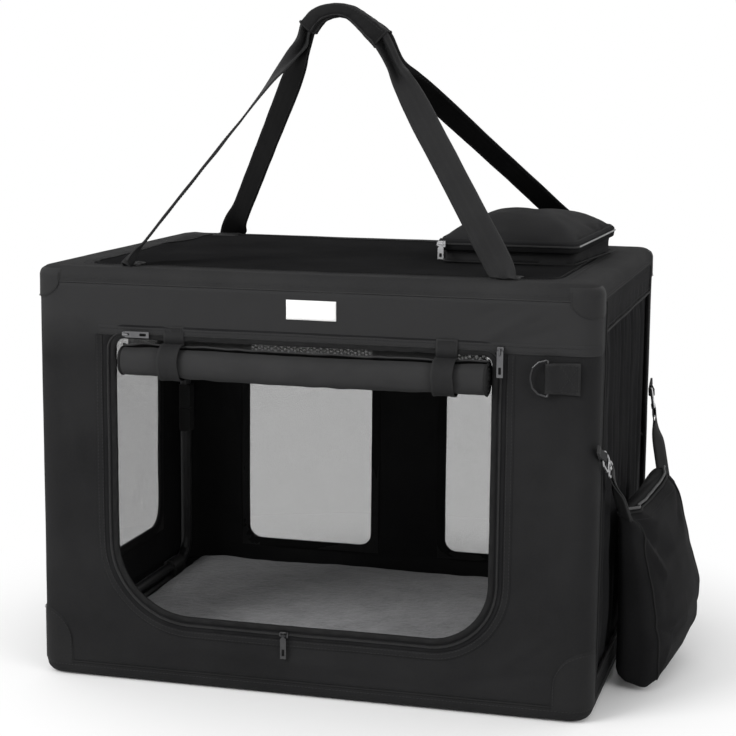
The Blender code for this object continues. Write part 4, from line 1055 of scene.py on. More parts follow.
tab = dict(left=0.2925, right=0.330, z=0.412, half=0.018, eye=0.0026, thick=0.0018, face=0.0036)
eyeY = -wall["depth"] - 0.0003 - tab["thick"] - tab["eye"]
side = [(x, -wall["depth"] - 0.0012) for x in steps(tab["right"], tab["left"] + 0.004, 0.004)]
for k in range(13):
    a = math.pi / 2 + math.pi * k / 12
    side.append((tab["left"] + (tab["eye"] + 0.0009) * math.cos(a), eyeY + (tab["eye"] + 0.0009) * math.sin(a)))
side.append((tab["left"] + 0.006, eyeY - 0.0022))
side += [(tab["left"] + along, -wall["depth"] - out) for along, out in ((0.012, 0.0040), (0.020, 0.0033))]
side += [(x, -wall["depth"] - 0.0031) for x in steps(tab["left"] + 0.024, tab["right"], 0.004)]
rows = []
for t in [-1 + n / 6 for n in range(13)]:
    row = []
    for x, y in side:
        high = tab["half"] * t * (1 - 0.03 * math.cos((x - tab["left"]) * 90))
        row.append(Vector((x, y - 0.0005 * (t * t) * (y < eyeY), tab["z"] + high)))
    rows.append(row)
ringTab = sheet("ringTab", rows, strapWebbing, toward=(0, -1, 0))
thicken(ringTab, 0.0016)
crumples(ringTab, "front_tab", slot="webbing")
ring = roundRect(tab["left"] + 0.0135, tab["z"] - 0.0155, tab["right"] - 0.002, tab["z"] + 0.0155, 0)
corners = [(x, -wall["depth"] - tab["face"], z) for x, z in ring]
line = evenly(corners, 0.002, True)
crosses = [evenly([corners[a], corners[b]], 0.002) for a, b in ((0, 2), (3, 1))]
crumples(sewn("ringTabStitches", [line + line[:1], *crosses], (0, -1, 0)), slot="webbing")
crumples(fromNode("front_ring", "tabRing", blackMetal), "front_ring", body="tab_ring", slot="zip_metal")

# door zips: sliders and pulls
for word, finish in (("left", gunMetal), ("right", gunMetal), ("sill", blackMetal)):
    for part, tail in (("slider", ""), ("pull", "_tag")):
        node = "zip_" + part + "_" + word
        made = fromNode(node, part + word.capitalize(), finish, 0.0003)
        crumples(made, node, body="zip_" + word + tail, slot="zip_metal")
print("front fittings ready")

# roof and floor shells

shell = dict(length=0.35, depth=0.26, corner=0.028, round=0.014, skirt=0.0197, thick=0.0024, sag=0.0022, top=0.52)
roofCreases = [
    (-0.262, -0.150, -0.325, 0.240, 0.006, 0.0026), (-0.240, -0.120, -0.300, 0.200, 0.009, -0.0016),
    (-0.236, -0.200, -0.120, -0.120, 0.007, 0.0018), (0.236, -0.215, 0.130, -0.150, 0.007, 0.0016),
    (-0.140, 0.060, 0.060, 0.150, 0.010, 0.0016), (0.300, -0.220, 0.320, 0.150, 0.007, 0.0016),
]


def topLift(x, y):
    held = ease(0, 0.03, shell["length"] - abs(x)) * ease(0, 0.03, shell["depth"] - abs(y))
    out = -shell["sag"] * (1 - (x / shell["length"]) ** 2) * (1 - (y / shell["depth"]) ** 2)
    out += 0.0012 * swell(x, y, 0.13, 21) + 0.0005 * swell(x, y, 0.035, 22)
    for line in roofCreases:
        out += crease(x, y, line)
    return max(-0.0035, out) * held


def edgeDrop(past):  # how far a rounded rim falls at a distance past the start of its rounding
    return shell["round"] - math.sqrt(max(0.0, shell["round"] ** 2 - past ** 2)) if past > 0 else 0.0


def shellSheet(name, rim, way, lift, finish):
    insets = [0.0, 0.0008, 0.0024, 0.0048, 0.0080, 0.0110, 0.0140, 0.0180, 0.0230, 0.0280]
    spans = []
    for half in (shell["length"], shell["depth"]):
        inner = steps(-half + 0.034, half - 0.034, 0.0055)
        spans.append([-half + d for d in insets] + inner + [half - d for d in insets[::-1]])
    across, deep = spans
    shape = bmesh.new()
    grid = []
    bend = shell["corner"]
    for b in deep:
        row = []
        for a in across:
            overA = max(0.0, (abs(a) - shell["length"] + bend) / bend)
            overB = max(0.0, (abs(b) - shell["depth"] + bend) / bend)
            x, y = a, b
            if overA > 0 and overB > 0:
                scale = max(overA, overB) / math.hypot(overA, overB)
                x = math.copysign(shell["length"] - bend + bend * overA * scale, a)
                y = math.copysign(shell["depth"] - bend + bend * overB * scale, b)
            drop = edgeDrop(shell["round"] - min(shell["length"] - abs(a), shell["depth"] - abs(b)))
            row.append(shape.verts.new((x, y, rim + way * drop + lift(x, y))))
        grid.append(row)
    for i in range(len(deep) - 1):
        for j in range(len(across) - 1):
            shape.faces.new((grid[i][j], grid[i][j + 1], grid[i + 1][j + 1], grid[i + 1][j]))
    ring = grid[0][:] + [row[-1] for row in grid[1:]] + grid[-1][-2::-1] + [row[0] for row in grid[-2:0:-1]]
    above = ring
    for depth in (0.0168, shell["skirt"]):
        below = [shape.verts.new((v.co.x, v.co.y, rim + way * depth)) for v in ring]
        for k in range(len(ring)):
            m = (k + 1) % len(ring)
            shape.faces.new((above[k], above[m], below[m], below[k]))
        above = below
    bmesh.ops.recalc_face_normals(shape, faces=shape.faces)
    faceToward(shape, (0, 0, -way))
    made = addObject(name, shape, finish)
    boxMap(made)
    return thicken(made, shell["thick"])


roofSkin = onRoof(shellSheet("roofSkin", shell["top"], -1, topLift, marginCloth), "roof_shell")
floorSkin = onBase(shellSheet("floorSkin", 0.0, 1, lambda x, y: 0.0, shellCloth), "floor_tray")


band = dict(face=0.3496, reach=0.2121, roof=(0.4602, 0.5010, 31), floor=(0.0190, 0.0458, 33))  # low, high, seed


def endBand(name, end, kind):  # the deep hems of the roof and the floor at the crate's ends
    low, high, seed = band[kind]
    rows = []
    for z in steps(low, high, 0.0042):
        free = ease(0.03, 0.0, abs(z - (low if kind == "roof" else high)))
        row = []
        for y in steps(-band["reach"], band["reach"], 0.0052):
            x = band["face"] + 0.0009 * swell(y, z, 0.05, seed) + free * (0.0010 * swell(y, z, 0.022, seed + 1))
            if end > 0 and kind == "roof":
                x += 0.0004 * math.sin(y * 2 * math.pi * 11 / 0.425 + 1.5 * swell(y, 0, 0.1, seed)) * free
            row.append(Vector((end * x, y, z)))
        rows.append(row)
    return sheet(name, rows, sideCloth, toward=(end, 0, 0), thick=0.0022)


for end, word in ((-1, "Left"), (1, "Right")):
    roofBand = onRoof(endBand("roofBand" + word, end, "roof"))
    floorBand = onBase(endBand("floorBand" + word, end, "floor"))
    for z, name, wrap, seed, inset in ((0.4612, "roof", onRoof, 31, 0.006), (0.0448, "base", onBase, 33, -0.006)):
        places = steps(-0.211, 0.211, 0.006)
        line = [Vector((end * (0.3500 + 0.0009 * swell(y, z, 0.05, seed)), y, z)) for y in places]
        wrap(cordRound(name + "BandEdge" + word, line, 0.0015, pipingCloth), slot="webbing")
        seam = [Vector((p.x + end * 0.0003, p.y, p.z + inset)) for p in line]
        wrap(sewn(name + "BandStitches" + word, [seam], (end, 0, 0)), slot="webbing")


def planLine(out, z, step=0.006):  # round the crate seen from above
    x, y = shell["length"] + out, shell["depth"] + out
    return [Vector((p.x, p.y, z)) for p in evenOutline(roundRect(-x, -y, x, y, shell["corner"] + out), step)]


cornerX, cornerY = 0.322, 0.232  # where the corners' rounding begins


def outward(p, beyond=cornerY):  # level, away from the crate's side or from the middle of the rounding
    x = p.x - math.copysign(cornerX, p.x) if abs(p.x) > cornerX else 0
    y = p.y - math.copysign(cornerY, p.y) if abs(p.y) > beyond else 0
    return Vector((x, y, 0)).normalized()


onRoof(cordRound("roofPiping", planLine(-0.0004, 0.5010), 0.0011, marginCloth, 8, True), slot="webbing")
onBase(cordRound("floorPiping", planLine(-0.0002, 0.0190), 0.0013, pipingCloth, 8, True), slot="webbing")
for name, z, wrap in (("roofRimStitches", 0.5062, onRoof), ("floorRimStitches", 0.0143, onBase)):
    line = planLine(0.0002, z, 0.005)
    line.append(line[0])
    wrap(stitched(name, [(line, [outward(p) for p in line])], thread), slot="webbing")


def onTop(x, y, lift=0.0):
    inset = max(0.0, min(shell["length"] - abs(x), shell["depth"] - abs(y)))
    return Vector((x, y, shell["top"] - edgeDrop(shell["round"] - inset) + topLift(x, y) + lift))


# a paler margin sewn round the roof's middle panel, and its zip
margin = dict(front=0.043, side=0.052, bend=0.03)
panelX, panelY, panelBend = shell["length"] - margin["side"], shell["depth"] - margin["front"], margin["bend"]
bent = steps(panelY - panelBend, panelY, 0.003)
straight = steps(panelBend - panelY, panelY - panelBend, 0.0062)[1:-1]
rows = []
for y in [-y for y in bent[::-1]] + straight + bent:
    over = max(0.0, abs(y) - panelY + panelBend)  # how far into the corners' rounding
    half = panelX - panelBend + math.sqrt(max(0.0, panelBend ** 2 - over ** 2))
    last = abs(y) > panelY - 0.0001
    rows.append([onTop(half * t, y, 0.0001 if last or abs(t) > 0.999 else 0.0009) for t in steps(-1, 1, 0.02)])
roofPanel = sheet("roofPanel", rows, roofCloth, toward=(0, 0, 1))
boxMap(roofPanel)
onRoof(roofPanel)
hatch = evenOutline(roundRect(-panelX, -panelY, panelX, panelY, panelBend), 0.004)
line = [onTop(p.x * 0.985, p.y * 0.98, 0.0008) for p in hatch]
onRoof(cordRound("hatchCoil", line, 0.0013, hatchZip, 8, True, 0.7), slot="zip_metal")
for k, scale in enumerate((1.012, 1.035)):
    line = [onTop(p.x * scale, p.y * scale, 0.0010) for p in hatch]
    onRoof(sewn("hatchStitches" + str(k), [line + line[:1]], (0, 0, 1)), slot="webbing")
print("roof and floor shells ready")

# corner patches

patch = dict(
    top=dict(reach=0.030, wrap=0.034, high=0.5165, hang=0.037, lift=0.0011, way=-1),
    low=dict(reach=0.040, wrap=0.034, high=0.0145, hang=0.072, lift=0.0013, way=1),
)


def cornerPatch(name, side, end, size, finish):  # a smooth patch sewn round a corner, with a rounded free edge
    rows = []
    for v in [k / 20 for k in range(21)]:
        row = []
        for s in steps(-size["reach"], size["wrap"], 0.0026):
            t = (s + size["reach"]) / (size["reach"] + size["wrap"])
            edge = math.sqrt(max(0.0, 1 - max(0.0, (0.55 - t) / 0.55) ** 2.2))
            edge *= math.sqrt(max(0.0, 1 - max(0.0, (t - 0.72) / 0.28) ** 3))
            z = size["high"] + size["way"] * v * (size["hang"] * (0.28 + 0.72 * edge))
            lift = 0.0002
            if 0 < v < 1 and 0.001 < t < 0.999:
                lift = min(size["lift"], size["lift"] * 1.6 * math.sin(math.pi * v) ** 0.25)
                lift += 0.0003 * swell(s, z, 0.02, 41)
            over = z - (shell["top"] - shell["round"])
            lift = lift - edgeDrop(over) if over > 0 else max(lift, 0.0002)
            at = end * (wallFlat + wallArc * 0.5 + s)
            row.append(onWall(side, max(-wallReach, min(wallReach, at)), z, lift))
        rows.append(row)
    return sheet(name, rows, finish, toward=(end, side, 0)), rows


for side, word in ((-1, "Front"), (1, "Back")):
    for end, endWord in ((-1, "Left"), (1, "Right")):
        corner = word + endWord
        upper, rowsTop = cornerPatch("cornerPatchTop" + corner, side, end, patch["top"], patchCloth)
        onRoof(upper)
        lower, rowsLow = cornerPatch("cornerPatchLow" + corner, side, end, patch["low"], lowPatchCloth)
        crumples(lower)
        for piece, rows, wrap in (("Top", rowsTop, onRoof), ("Low", rowsLow, crumples)):
            edge = [rows[k][1] for k in range(3, 19)] + rows[-2][1:-1]
            outs = [outward(p, 0) for p in edge]
            line = [p + n * 0.0009 for p, n in zip(edge, outs)]
            wrap(stitched("cornerStitches" + piece + corner, [(line, outs)], thread), slot="webbing")
print("corner patches ready")

# left end: cloth with a mesh window, over both halves of the folding frame

endPanel = dict(half=0.2125, low=0.0437, high=0.4763, face=0.3435)
endGrid = steps(endPanel["low"], endPanel["high"], 0.005)
leftWindow = dict(
    edge=roundRect(-0.140, 0.098, 0.140, 0.424, 0.035), stitches=roundRect(-0.1485, 0.0895, 0.1485, 0.4325, 0.0435),
    hem=((0.004, -0.0022), (0.0043, 0.0004), (0.003, 0.0013), (-0.001, 0.0016), (-0.006, 0.0014), (-0.0095, 0.0010),
         (-0.0105, 0.0002)),
    hemInner=((0.004, 0.0014), (-0.004, 0.0014), (-0.0085, 0.0010), (-0.0095, -0.0004)),
)


def onLeft(y, z, lift=0.0):
    inset = endPanel["half"] - abs(y), z - endPanel["low"], endPanel["high"] - z
    held = math.prod(ease(0, 0.03, free) for free in inset)
    out = 0.0022 * held * (0.6 + 0.5 * swell(y, z, 0.12, 51)) + 0.0006 * swell(y, z, 0.03, 52) * held
    return Vector((-(endPanel["face"] + out + lift), y, z))


def leftNetPoint(y, z):
    return onLeft(y, z, -0.0028 + 0.0010 * swell(y, z, 0.08, 53))


def insideLeft(y, z, lift):
    return onLeft(y, z, -0.0020 - lift)


def overKnee(piece, side, *nodes, slot="side_fabric"):
    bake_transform(piece)
    return named(piece, nodes)


grid = steps(-endPanel["half"], endPanel["half"], 0.005)
edge = leftWindow["edge"]
leftSkin = panel("leftSkin", grid, endGrid, onLeft, [edge], sideCloth, (-1, 0, 0), 0.0020)
overKnee(leftSkin, "left", "left_wall_lower", "left_wall_upper")
across, up = steps(-0.147, 0.147, 0.007), steps(0.091, 0.431, 0.007)
leftNet = panel("leftNet", across, up, leftNetPoint, [], sideNet, (-1, 0, 0))
overKnee(leftNet, "left", "left_window_lower", "left_window_upper", slot="mesh")
hem = bandAlong("leftHem", edge, onLeft, bindingTape, leftWindow["hem"], side=-1, toward=(-1, 0, 0))
overKnee(hem, "left", slot="webbing")
hem = bandAlong("leftHemInner", edge, insideLeft, bindingTape, leftWindow["hemInner"], side=-1, toward=(1, 0, 0))
overKnee(hem, "left", slot="webbing")
line = [onLeft(p.x, p.y, 0.0016) for p in evenOutline(leftWindow["stitches"], 0.005)]
overKnee(sewn("leftStitches", [line + line[:1]], (-1, 0, 0)), "left", slot="webbing")

# right end: a curtain gathered under its header


def gather(y, z):
    half, low, high = endPanel["half"], endPanel["low"], endPanel["high"]
    edge = ease(0, 0.022, half - abs(y))
    hung = ease(0.0, 0.05, high - z) * ease(0.0, 0.05, z - low)
    down = (high - z) / (high - low)
    y0 = y + 0.010 * (down - 0.3) * swell(y, z, 0.14, 61) + 0.004 * swell(y, z, 0.05, 62)
    wave = math.cos(2 * math.pi * 9 * (y0 + half) / 0.425)
    small = math.cos(2 * math.pi * 23 * (y0 + half) / 0.425 + 2.0 * swell(y, z, 0.1, 63))
    deep = 0.0036 * (wave - 0.12) + 0.0011 * small * (1 - 0.6 * down)
    deep += 0.0014 * swell(y, z, 0.06, 64)
    out = 0.0012 + max(-0.0048, min(0.0044, deep))
    return Vector((endPanel["face"] + 0.0010 + out * edge * (0.25 + 0.75 * hung), y, z))


grid = steps(-endPanel["half"], endPanel["half"], 0.0026)
rows = [[gather(y, z) for y in grid] for z in steps(endPanel["low"], endPanel["high"], 0.0060)]
rightCurtain = sheet("rightCurtain", rows, sideCloth, toward=(1, 0, 0), thick=0.0018)
overKnee(rightCurtain, "right", "right_wall_lower", "right_wall_upper")
print("end panels ready")

# board, mat and pocket


def softBlock(name, low, high, crown, draw, bend, cuts, finish):
    low, high = Vector(low), Vector(high)
    middle, half = (low + high) / 2, (high - low) / 2
    shape = bmesh.new()
    bmesh.ops.create_cube(shape, size=2)
    for axis, count in enumerate(cuts):
        edges = [e for e in shape.edges if abs((e.verts[0].co - e.verts[1].co)[axis]) > 1]
        bmesh.ops.subdivide_edges(shape, edges=edges, cuts=count, use_grid_fill=True)
    cornerU, cornerV = bend / half.x, bend / half.y
    for v in shape.verts:
        u, w, t = v.co
        x, y = u * half.x, w * half.y
        overU = max(0.0, (abs(u) - 1 + cornerU) / cornerU)
        overV = max(0.0, (abs(w) - 1 + cornerV) / cornerV)
        if overU > 0 and overV > 0:
            scale = max(overU, overV) / math.hypot(overU, overV)
            x = math.copysign(half.x - bend + bend * overU * scale, u)
            y = math.copysign(half.y - bend + bend * overV * scale, w)
        x -= math.copysign(draw * (1 - w * w) * abs(u) ** 6, u)
        y -= math.copysign(draw * (1 - u * u) * abs(w) ** 6, w)
        z = middle.z - crown / 2 + t * (half.z - crown / 2)
        if t > 0:
            z += crown * (1 - abs(u) ** 2.6) * (1 - abs(w) ** 2.6) * t
        v.co = (middle.x + x, middle.y + y, z)
    return addObject(name, shape, finish)


def inflate(piece, look, cap, floor, ceiling=math.inf):
    # blows the piece up a little as filled cloth, and keeps each point within cap of where it was
    finish = piece.data.materials[0]
    remesh = piece.modifiers.new("voxels", "REMESH")
    remesh.mode = "VOXEL"
    remesh.voxel_size = look["voxel"]
    settle(piece)
    start = np.empty(len(piece.data.vertices) * 3)
    piece.data.vertices.foreach_get("co", start)
    start = start.reshape(-1, 3)
    after = start
    cloth = piece.modifiers.new("filled cloth", "CLOTH")
    values = cloth.settings
    values.use_pressure = True
    values.uniform_pressure_force = look["pressure"]
    values.effector_weights.gravity = 0.0
    values.quality = 6
    values.tension_stiffness = 12.0
    values.compression_stiffness = 12.0
    values.bending_stiffness = 0.6
    cloth.collision_settings.use_collision = False
    held = piece.vertex_groups.new(name="held")
    low = start[:, 2].min()
    held.add([int(k) for k in np.nonzero(start[:, 2] < low + look["held"])[0]], 1.0, "REPLACE")
    values.vertex_group_mass = "held"
    for k in range(1, 21):
        sceneNow.frame_set(k)
    bpy.context.view_layer.update()
    settled = piece.evaluated_get(bpy.context.evaluated_depsgraph_get()).to_mesh()
    after = np.empty(len(settled.vertices) * 3)
    settled.vertices.foreach_get("co", after)
    after = after.reshape(-1, 3)
    piece.modifiers.clear()
    sceneNow.frame_set(1)
    move = after - start
    far = np.linalg.norm(move, axis=1, keepdims=True)
    after = start + move * np.minimum(1.0, cap / np.maximum(far, 1e-9))
    for k, v in enumerate(piece.data.vertices):
        x, y, z = (float(c) for c in after[k])
        rise = ease(0.0, 0.008, z - float(start[:, 2].min()))
        rumple = swell(x, y, look["fold"], look["seed"]) + 0.5 * swell(x, y, look["fold"] * 0.4, look["seed"] + 1)
        z += look["rumple"] * rise * rumple
        v.co = (x, y, min(max(z, floor), ceiling))
    finer = piece.modifiers.new("finer", "SUBSURF")
    finer.levels = 1
    finer.render_levels = 1
    settle(piece)
    if not piece.data.materials:
        piece.data.materials.append(finish)
    piece.data.shade_smooth()
    boxMap(piece)
    return piece


mat = dict(
    x=0.318, y=0.222, top=0.0520, crown=0.012, draw=0.008, bend=0.035, cuts=(40, 30, 6),
    filling=dict(voxel=0.007, pressure=2.5, held=0.003, rumple=0.0022, fold=0.07, seed=71),
)
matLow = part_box("floor_mat")[0][2]
low, high = (-mat["x"], -mat["y"], matLow + 0.0005), (mat["x"], mat["y"], mat["top"])
fleeceMat = softBlock("fleeceMat", low, high, mat["crown"], mat["draw"], mat["bend"], mat["cuts"], matFleece)
inflate(fleeceMat, mat["filling"], 0.005, matLow, mat["top"] + 0.004)


def onFloor(piece, *nodes, slot="mat_fleece"):  # the mat rides the base and gets its own mesh; the anchor and keep are not read
    return moves(piece, "base", nodes, dict(anchor=(0, 0, matLow), keep=0.30))


onFloor(fleeceMat, "floor_mat")
bound = []
for p in evenOutline(roundRect(-mat["x"], -mat["y"], mat["x"], mat["y"], mat["bend"]), 0.008):
    pullX = math.copysign(1 - (p.y / mat["y"]) ** 2, p.x) * (abs(p.x) > mat["x"] - 0.004)
    pullY = math.copysign(1 - (p.x / mat["x"]) ** 2, p.y) * (abs(p.y) > mat["y"] - 0.004)
    push = Vector((math.copysign(0.001, p.x), math.copysign(0.001, p.y), 0.024))
    bound.append(p - Vector((pullX, pullY, 0)) * mat["draw"] + push)
onFloor(cordRound("matBinding", bound, 0.0026, bindingTape, 8, True), slot="webbing")

pocket = dict(
    corners=((0.1100, -0.0583), (0.2905, -0.0583), (0.3130, 0.1580), (0.1120, 0.1580)),  # from the front left round
    bends=(0.016, 0.012, 0.022, 0.034), seam=(0.5438, 0.5438, 0.5530, 0.5540),
    low=0.5206, crown=0.5810, top=(0.214, 0.052), drawn=0.050, peak=2.5, inset=0.0022,
    filling=dict(voxel=0.0045, pressure=3.0, held=0.012, rumple=0.0012, fold=0.050, seed=74),
)


def quadLine(corners, bends, count=10):  # a four-cornered outline with round corners, from the first corner on
    made = []
    for k in range(4):
        a, b, c = (Vector((*corners[n % 4], 0)) for n in (k - 1, k, k + 1))
        toA, toC = (a - b).normalized(), (c - b).normalized()
        cut = bends[k] / math.tan(toA.angle(toC) / 2)
        for n in range(count + 1):
            t = n / count
            made.append((b + toA * cut) * (1 - t) ** 2 + b * 2 * t * (1 - t) + (b + toC * cut) * t ** 2)
    return made


def pocketSeam(p):  # how high the zip's seam is at a point of the outline
    (x0, y0), (x1, y1) = pocket["corners"][0], pocket["corners"][2]
    u, v = min(1, max(0, (p.x - x0) / (x1 - x0))), min(1, max(0, (p.y - y0) / (y1 - y0)))
    a, b, c, d = pocket["seam"]
    return (a * (1 - u) + b * u) * (1 - v) + (d * (1 - u) + c * u) * v


def pocketPoint(p, share):  # share runs from 0 under the bag, 1 at its foot, 2 at the zip's seam to 3 at the crown
    top = Vector((*pocket["top"], 0))
    seam = pocketSeam(p)
    p = p + (top - p).normalized() * pocket["inset"]
    if share <= 1:
        q, z = top.lerp(p, share * (1 - pocket["drawn"])), pocket["low"]
    elif share <= 2:
        up = share - 1
        q = top.lerp(p, 1 - pocket["drawn"] * (1 - up ** 1.6) - 0.030 * math.sin(math.pi * up))
        z = pocket["low"] + (seam - pocket["low"]) * up
    else:
        inward = share - 2
        q = p.lerp(top, inward)
        z = seam + (pocket["crown"] - seam) * (1 - (1 - inward) ** pocket["peak"])
        z -= 0.0014 * math.sin(math.pi * inward) * (0.5 + 0.5 * math.cos(4 * math.atan2(q.y - top.y, q.x - top.x)))
    return Vector((q.x, q.y, z))


outline = evenly(quadLine(pocket["corners"], pocket["bends"]), 0.0045, True)
shares = steps(0.04, 1, 0.12) + steps(1, 2, 0.2)[1:] + steps(2, 2.97, 0.07)[1:]
rows = [[pocketPoint(p, share) for p in outline] for share in shares]
roofPocket = sheet("roofPocket", rows, pocketCloth, closed=True)
closeHoles(roofPocket)
inflate(roofPocket, pocket["filling"], 0.0026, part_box("roof_pocket")[0][2] - 0.0020)
onRoof(roofPocket, "roof_pocket")
print("mat and pocket ready")

# carrying straps and their padded grip

strap = dict(
    width=0.038, thick=0.0023, footY=0.236, footZ=0.5218, apart=0.010, footX=dict(front=0.236, rear=0.265),
    grip=[(-0.0765, 0.8136), (-0.0615, 0.8295), (-0.040, 0.8358), (-0.021, 0.8332), (-0.008, 0.8251),
        (0.0045, 0.8151), (0.023, 0.7988)],
    gripHigh=[0.0228, 0.0204, 0.01776, 0.01776, 0.01968, 0.0228, 0.0264],
    gather=dict(left=(-0.083, 0.7929), right=(0.0425, 0.7644)), gatherWide=0.5,
    legs=[(0.05, 1.0, 0.35), (0.12, 1.0, 1.0), (0.30, 1.0, 1.0), (0.55, 1.0, 1.0), (0.78, 1.0, 0.9), (0.91, 0.8, 0.6)],
    lean={("front", "left"): ((0.50, -0.79, 0.35), 0.53), ("front", "right"): ((-0.785, 0.35, -0.51), 0.74),
          ("rear", "left"): ((0.60, -0.36, -0.71), 1.0), ("rear", "right"): ((-0.75, 0.556, -0.357), 1.0)},
)


def legRows(word, side, end):
    sign = -1 if end == "left" else 1
    foot = Vector((sign * strap["footX"][word], side * strap["footY"], strap["footZ"]))
    gx, gz = strap["gather"][end]
    gathered = Vector((gx, side * strap["apart"], gz))
    lean, footShare = strap["lean"][word, end]
    narrow = (word, end) == ("front", "left")  # this leg meets the roof nearly edge on
    atFoot = Vector((-sign, 0, 0)).lerp(Vector(lean), 0.75 if narrow else 0.0).normalized()
    if (word, end) == ("front", "right"):  # and this one turned a little on the roof
        atFoot = Vector((lean[0], lean[1], 0)).normalized()
    run = (gathered - foot).normalized() * -sign
    atGather = Vector((run.z, 0, -run.x)).normalized()
    made = [(foot, strap["width"] * footShare, atFoot)]
    for along, wide, leanShare in strap["legs"]:
        other = atFoot if along < 0.5 else atGather
        across = other.lerp(Vector(lean), max(leanShare, 0.9 if narrow and along < 0.2 else 0.0))
        wide *= min(1.0, footShare + 0.17) if word == "front" and along < 0.08 else 1.0
        across = (across - run * across.dot(run)).normalized()
        made.append((foot.lerp(gathered, along), strap["width"] * wide, across))
    made.append((gathered, strap["width"] * strap["gatherWide"], atGather))
    return made


def gripRows(side):
    line = [Vector((x, side * strap["apart"], z)) for x, z in strap["grip"]]
    made = []
    for k, p in enumerate(line):
        run = line[min(k + 1, len(line) - 1)] - line[max(k - 1, 0)]
        across = Vector((run.z, 0, -run.x)).normalized()
        made.append((p, strap["gripHigh"][k] - 0.004, across))
    return made


def fineRows(rows, count=7):
    places = smoothLine([r[0] for r in rows], count)
    widths = smoothLine([(r[1], 0, 0) for r in rows], count)
    sides = smoothLine([r[2] for r in rows], count)
    return [(p, w.x, a.normalized()) for p, w, a in zip(places, widths, sides)]


def strapRibbon(name, word, side, finish):
    rows = fineRows(legRows(word, side, "left") + gripRows(side) + legRows(word, side, "right")[::-1])
    seed = 81 if side < 0 else 85
    places = [r[0] for r in rows]
    marks = lengthsAlong(places)
    faces = [runAt(places, k).cross(across).normalized() for k, (_, _, across) in enumerate(rows)]
    grid = []
    for k, (p, wide, across) in enumerate(rows):
        fold = 0.0052 * ease(0.08, 0.45, 1 - wide / strap["width"])
        edgeOf = min(marks[k], marks[-1] - marks[k])
        bow = 0.0022 * ease(0.02, 0.10, edgeOf)
        row = []
        for t in [-1 + n / 6 for n in range(13)]:
            lift = fold * math.sin(t * 4.2 + 0.6) + bow * (t * t - 0.4) * swell(marks[k], 0, 0.16, seed)
            lift += 0.0007 * swell(marks[k], t * 0.02, 0.03, seed + 1) * ease(0.02, 0.06, edgeOf)
            row.append(p + across * wide / 2 * t + faces[k] * lift)
        grid.append(row)
    made = thicken(sheet(name, grid, finish), strap["thick"], centred=True)
    edges = []
    for n in (1, 11):  # a row of stitches near each edge, on both faces
        for way in (-1, 1):
            outs = [face * way for face in faces]
            edges.append(([row[n] + out * (strap["thick"] / 2 - 0.00014) for row, out in zip(grid, outs)], outs))
    return made, edges


# the rear strap takes the webbing's darker painted-shade copy
for side, word in ((-1, "front"), (1, "rear")):
    ribbon, edges = strapRibbon(word + "Strap", word, side, strapWebbing if side < 0 else paintedShadeWebbing)
    moves(ribbon, word + "_strap", [word + "_handle"])
    moves(stitched(word + "StrapStitches", edges, thread), word + "_strap", [])


def gripHalf(name, side):
    # half of the wrap that closes round both straps: padded, with a bound edge
    line = smoothLine([Vector((x, 0, z)) for x, z in strap["grip"]], 8)
    highs = smoothLine([(h, 0, 0) for h in strap["gripHigh"]], 8)
    near, far = side * 0.00015, side * 0.0176
    rows = []
    for k, (p, h) in enumerate(zip(line, highs)):
        run = runAt(line, k)
        across = Vector((run.z, 0, -run.x))
        t = k / (len(line) - 1)
        half = h.x / 2 * (1 - 0.04 * math.sin(math.pi * t))
        puff = 0.0010 * math.sin(math.pi * t * 5) ** 2
        ring = []
        for n in range(25):
            a = math.pi * n / 24 - math.pi / 2
            c, s = math.cos(a), math.sin(a)
            yy = near + (far - near) * abs(c) ** 0.55
            xx = half * math.copysign(abs(s) ** 0.7, s)
            bump = 0.0005 * swell(t * 0.12, n * 0.01, 0.03, 91 + side)
            bump += 0.0004 * math.sin(t * 50 + n * 0.5) * (0.3 + 0.7 * abs(2 * t - 1))
            out = Vector((0, yy - side * 0.0008 + side * (bump + puff * 0.4) * abs(c), 0))
            ring.append(Vector((p.x, 0, p.z)) + across * (xx + math.copysign(bump, s)) + out)
        rows.append(ring)
    made = sheet(name, rows, bindingTape)
    if sum(f.normal.dot(Vector((0, side, 0))) * f.area for f in made.data.polygons) < 0:
        made.data.flip_normals()
    return thicken(made, 0.0019), rows


for side, word in ((-1, "front"), (1, "rear")):
    body, title = word + "_strap", word.capitalize()
    half, rows = gripHalf("grip" + title, side)
    moves(half, body, ["grip_" + word])
    cords = []
    for k in (0, 1):
        cords.append(("gripEdge" + title + str(k), [p + Vector((0, side * 0.0002, 0)) for p in rows[-k]], 0.0014))
    cords.append(("gripRim" + title, [r[-3] for r in rows], 0.0012))
    for name, line, radius in cords:
        moves(cordRound(name, line, radius, pipingCloth, 7), body, [])
    seams = [[r[n] + Vector((0, side * 0.0003, 0)) for r in rows] for n in (7, 17)]
    moves(sewn("gripStitches" + title, seams, (0, side, 0)), body, [])

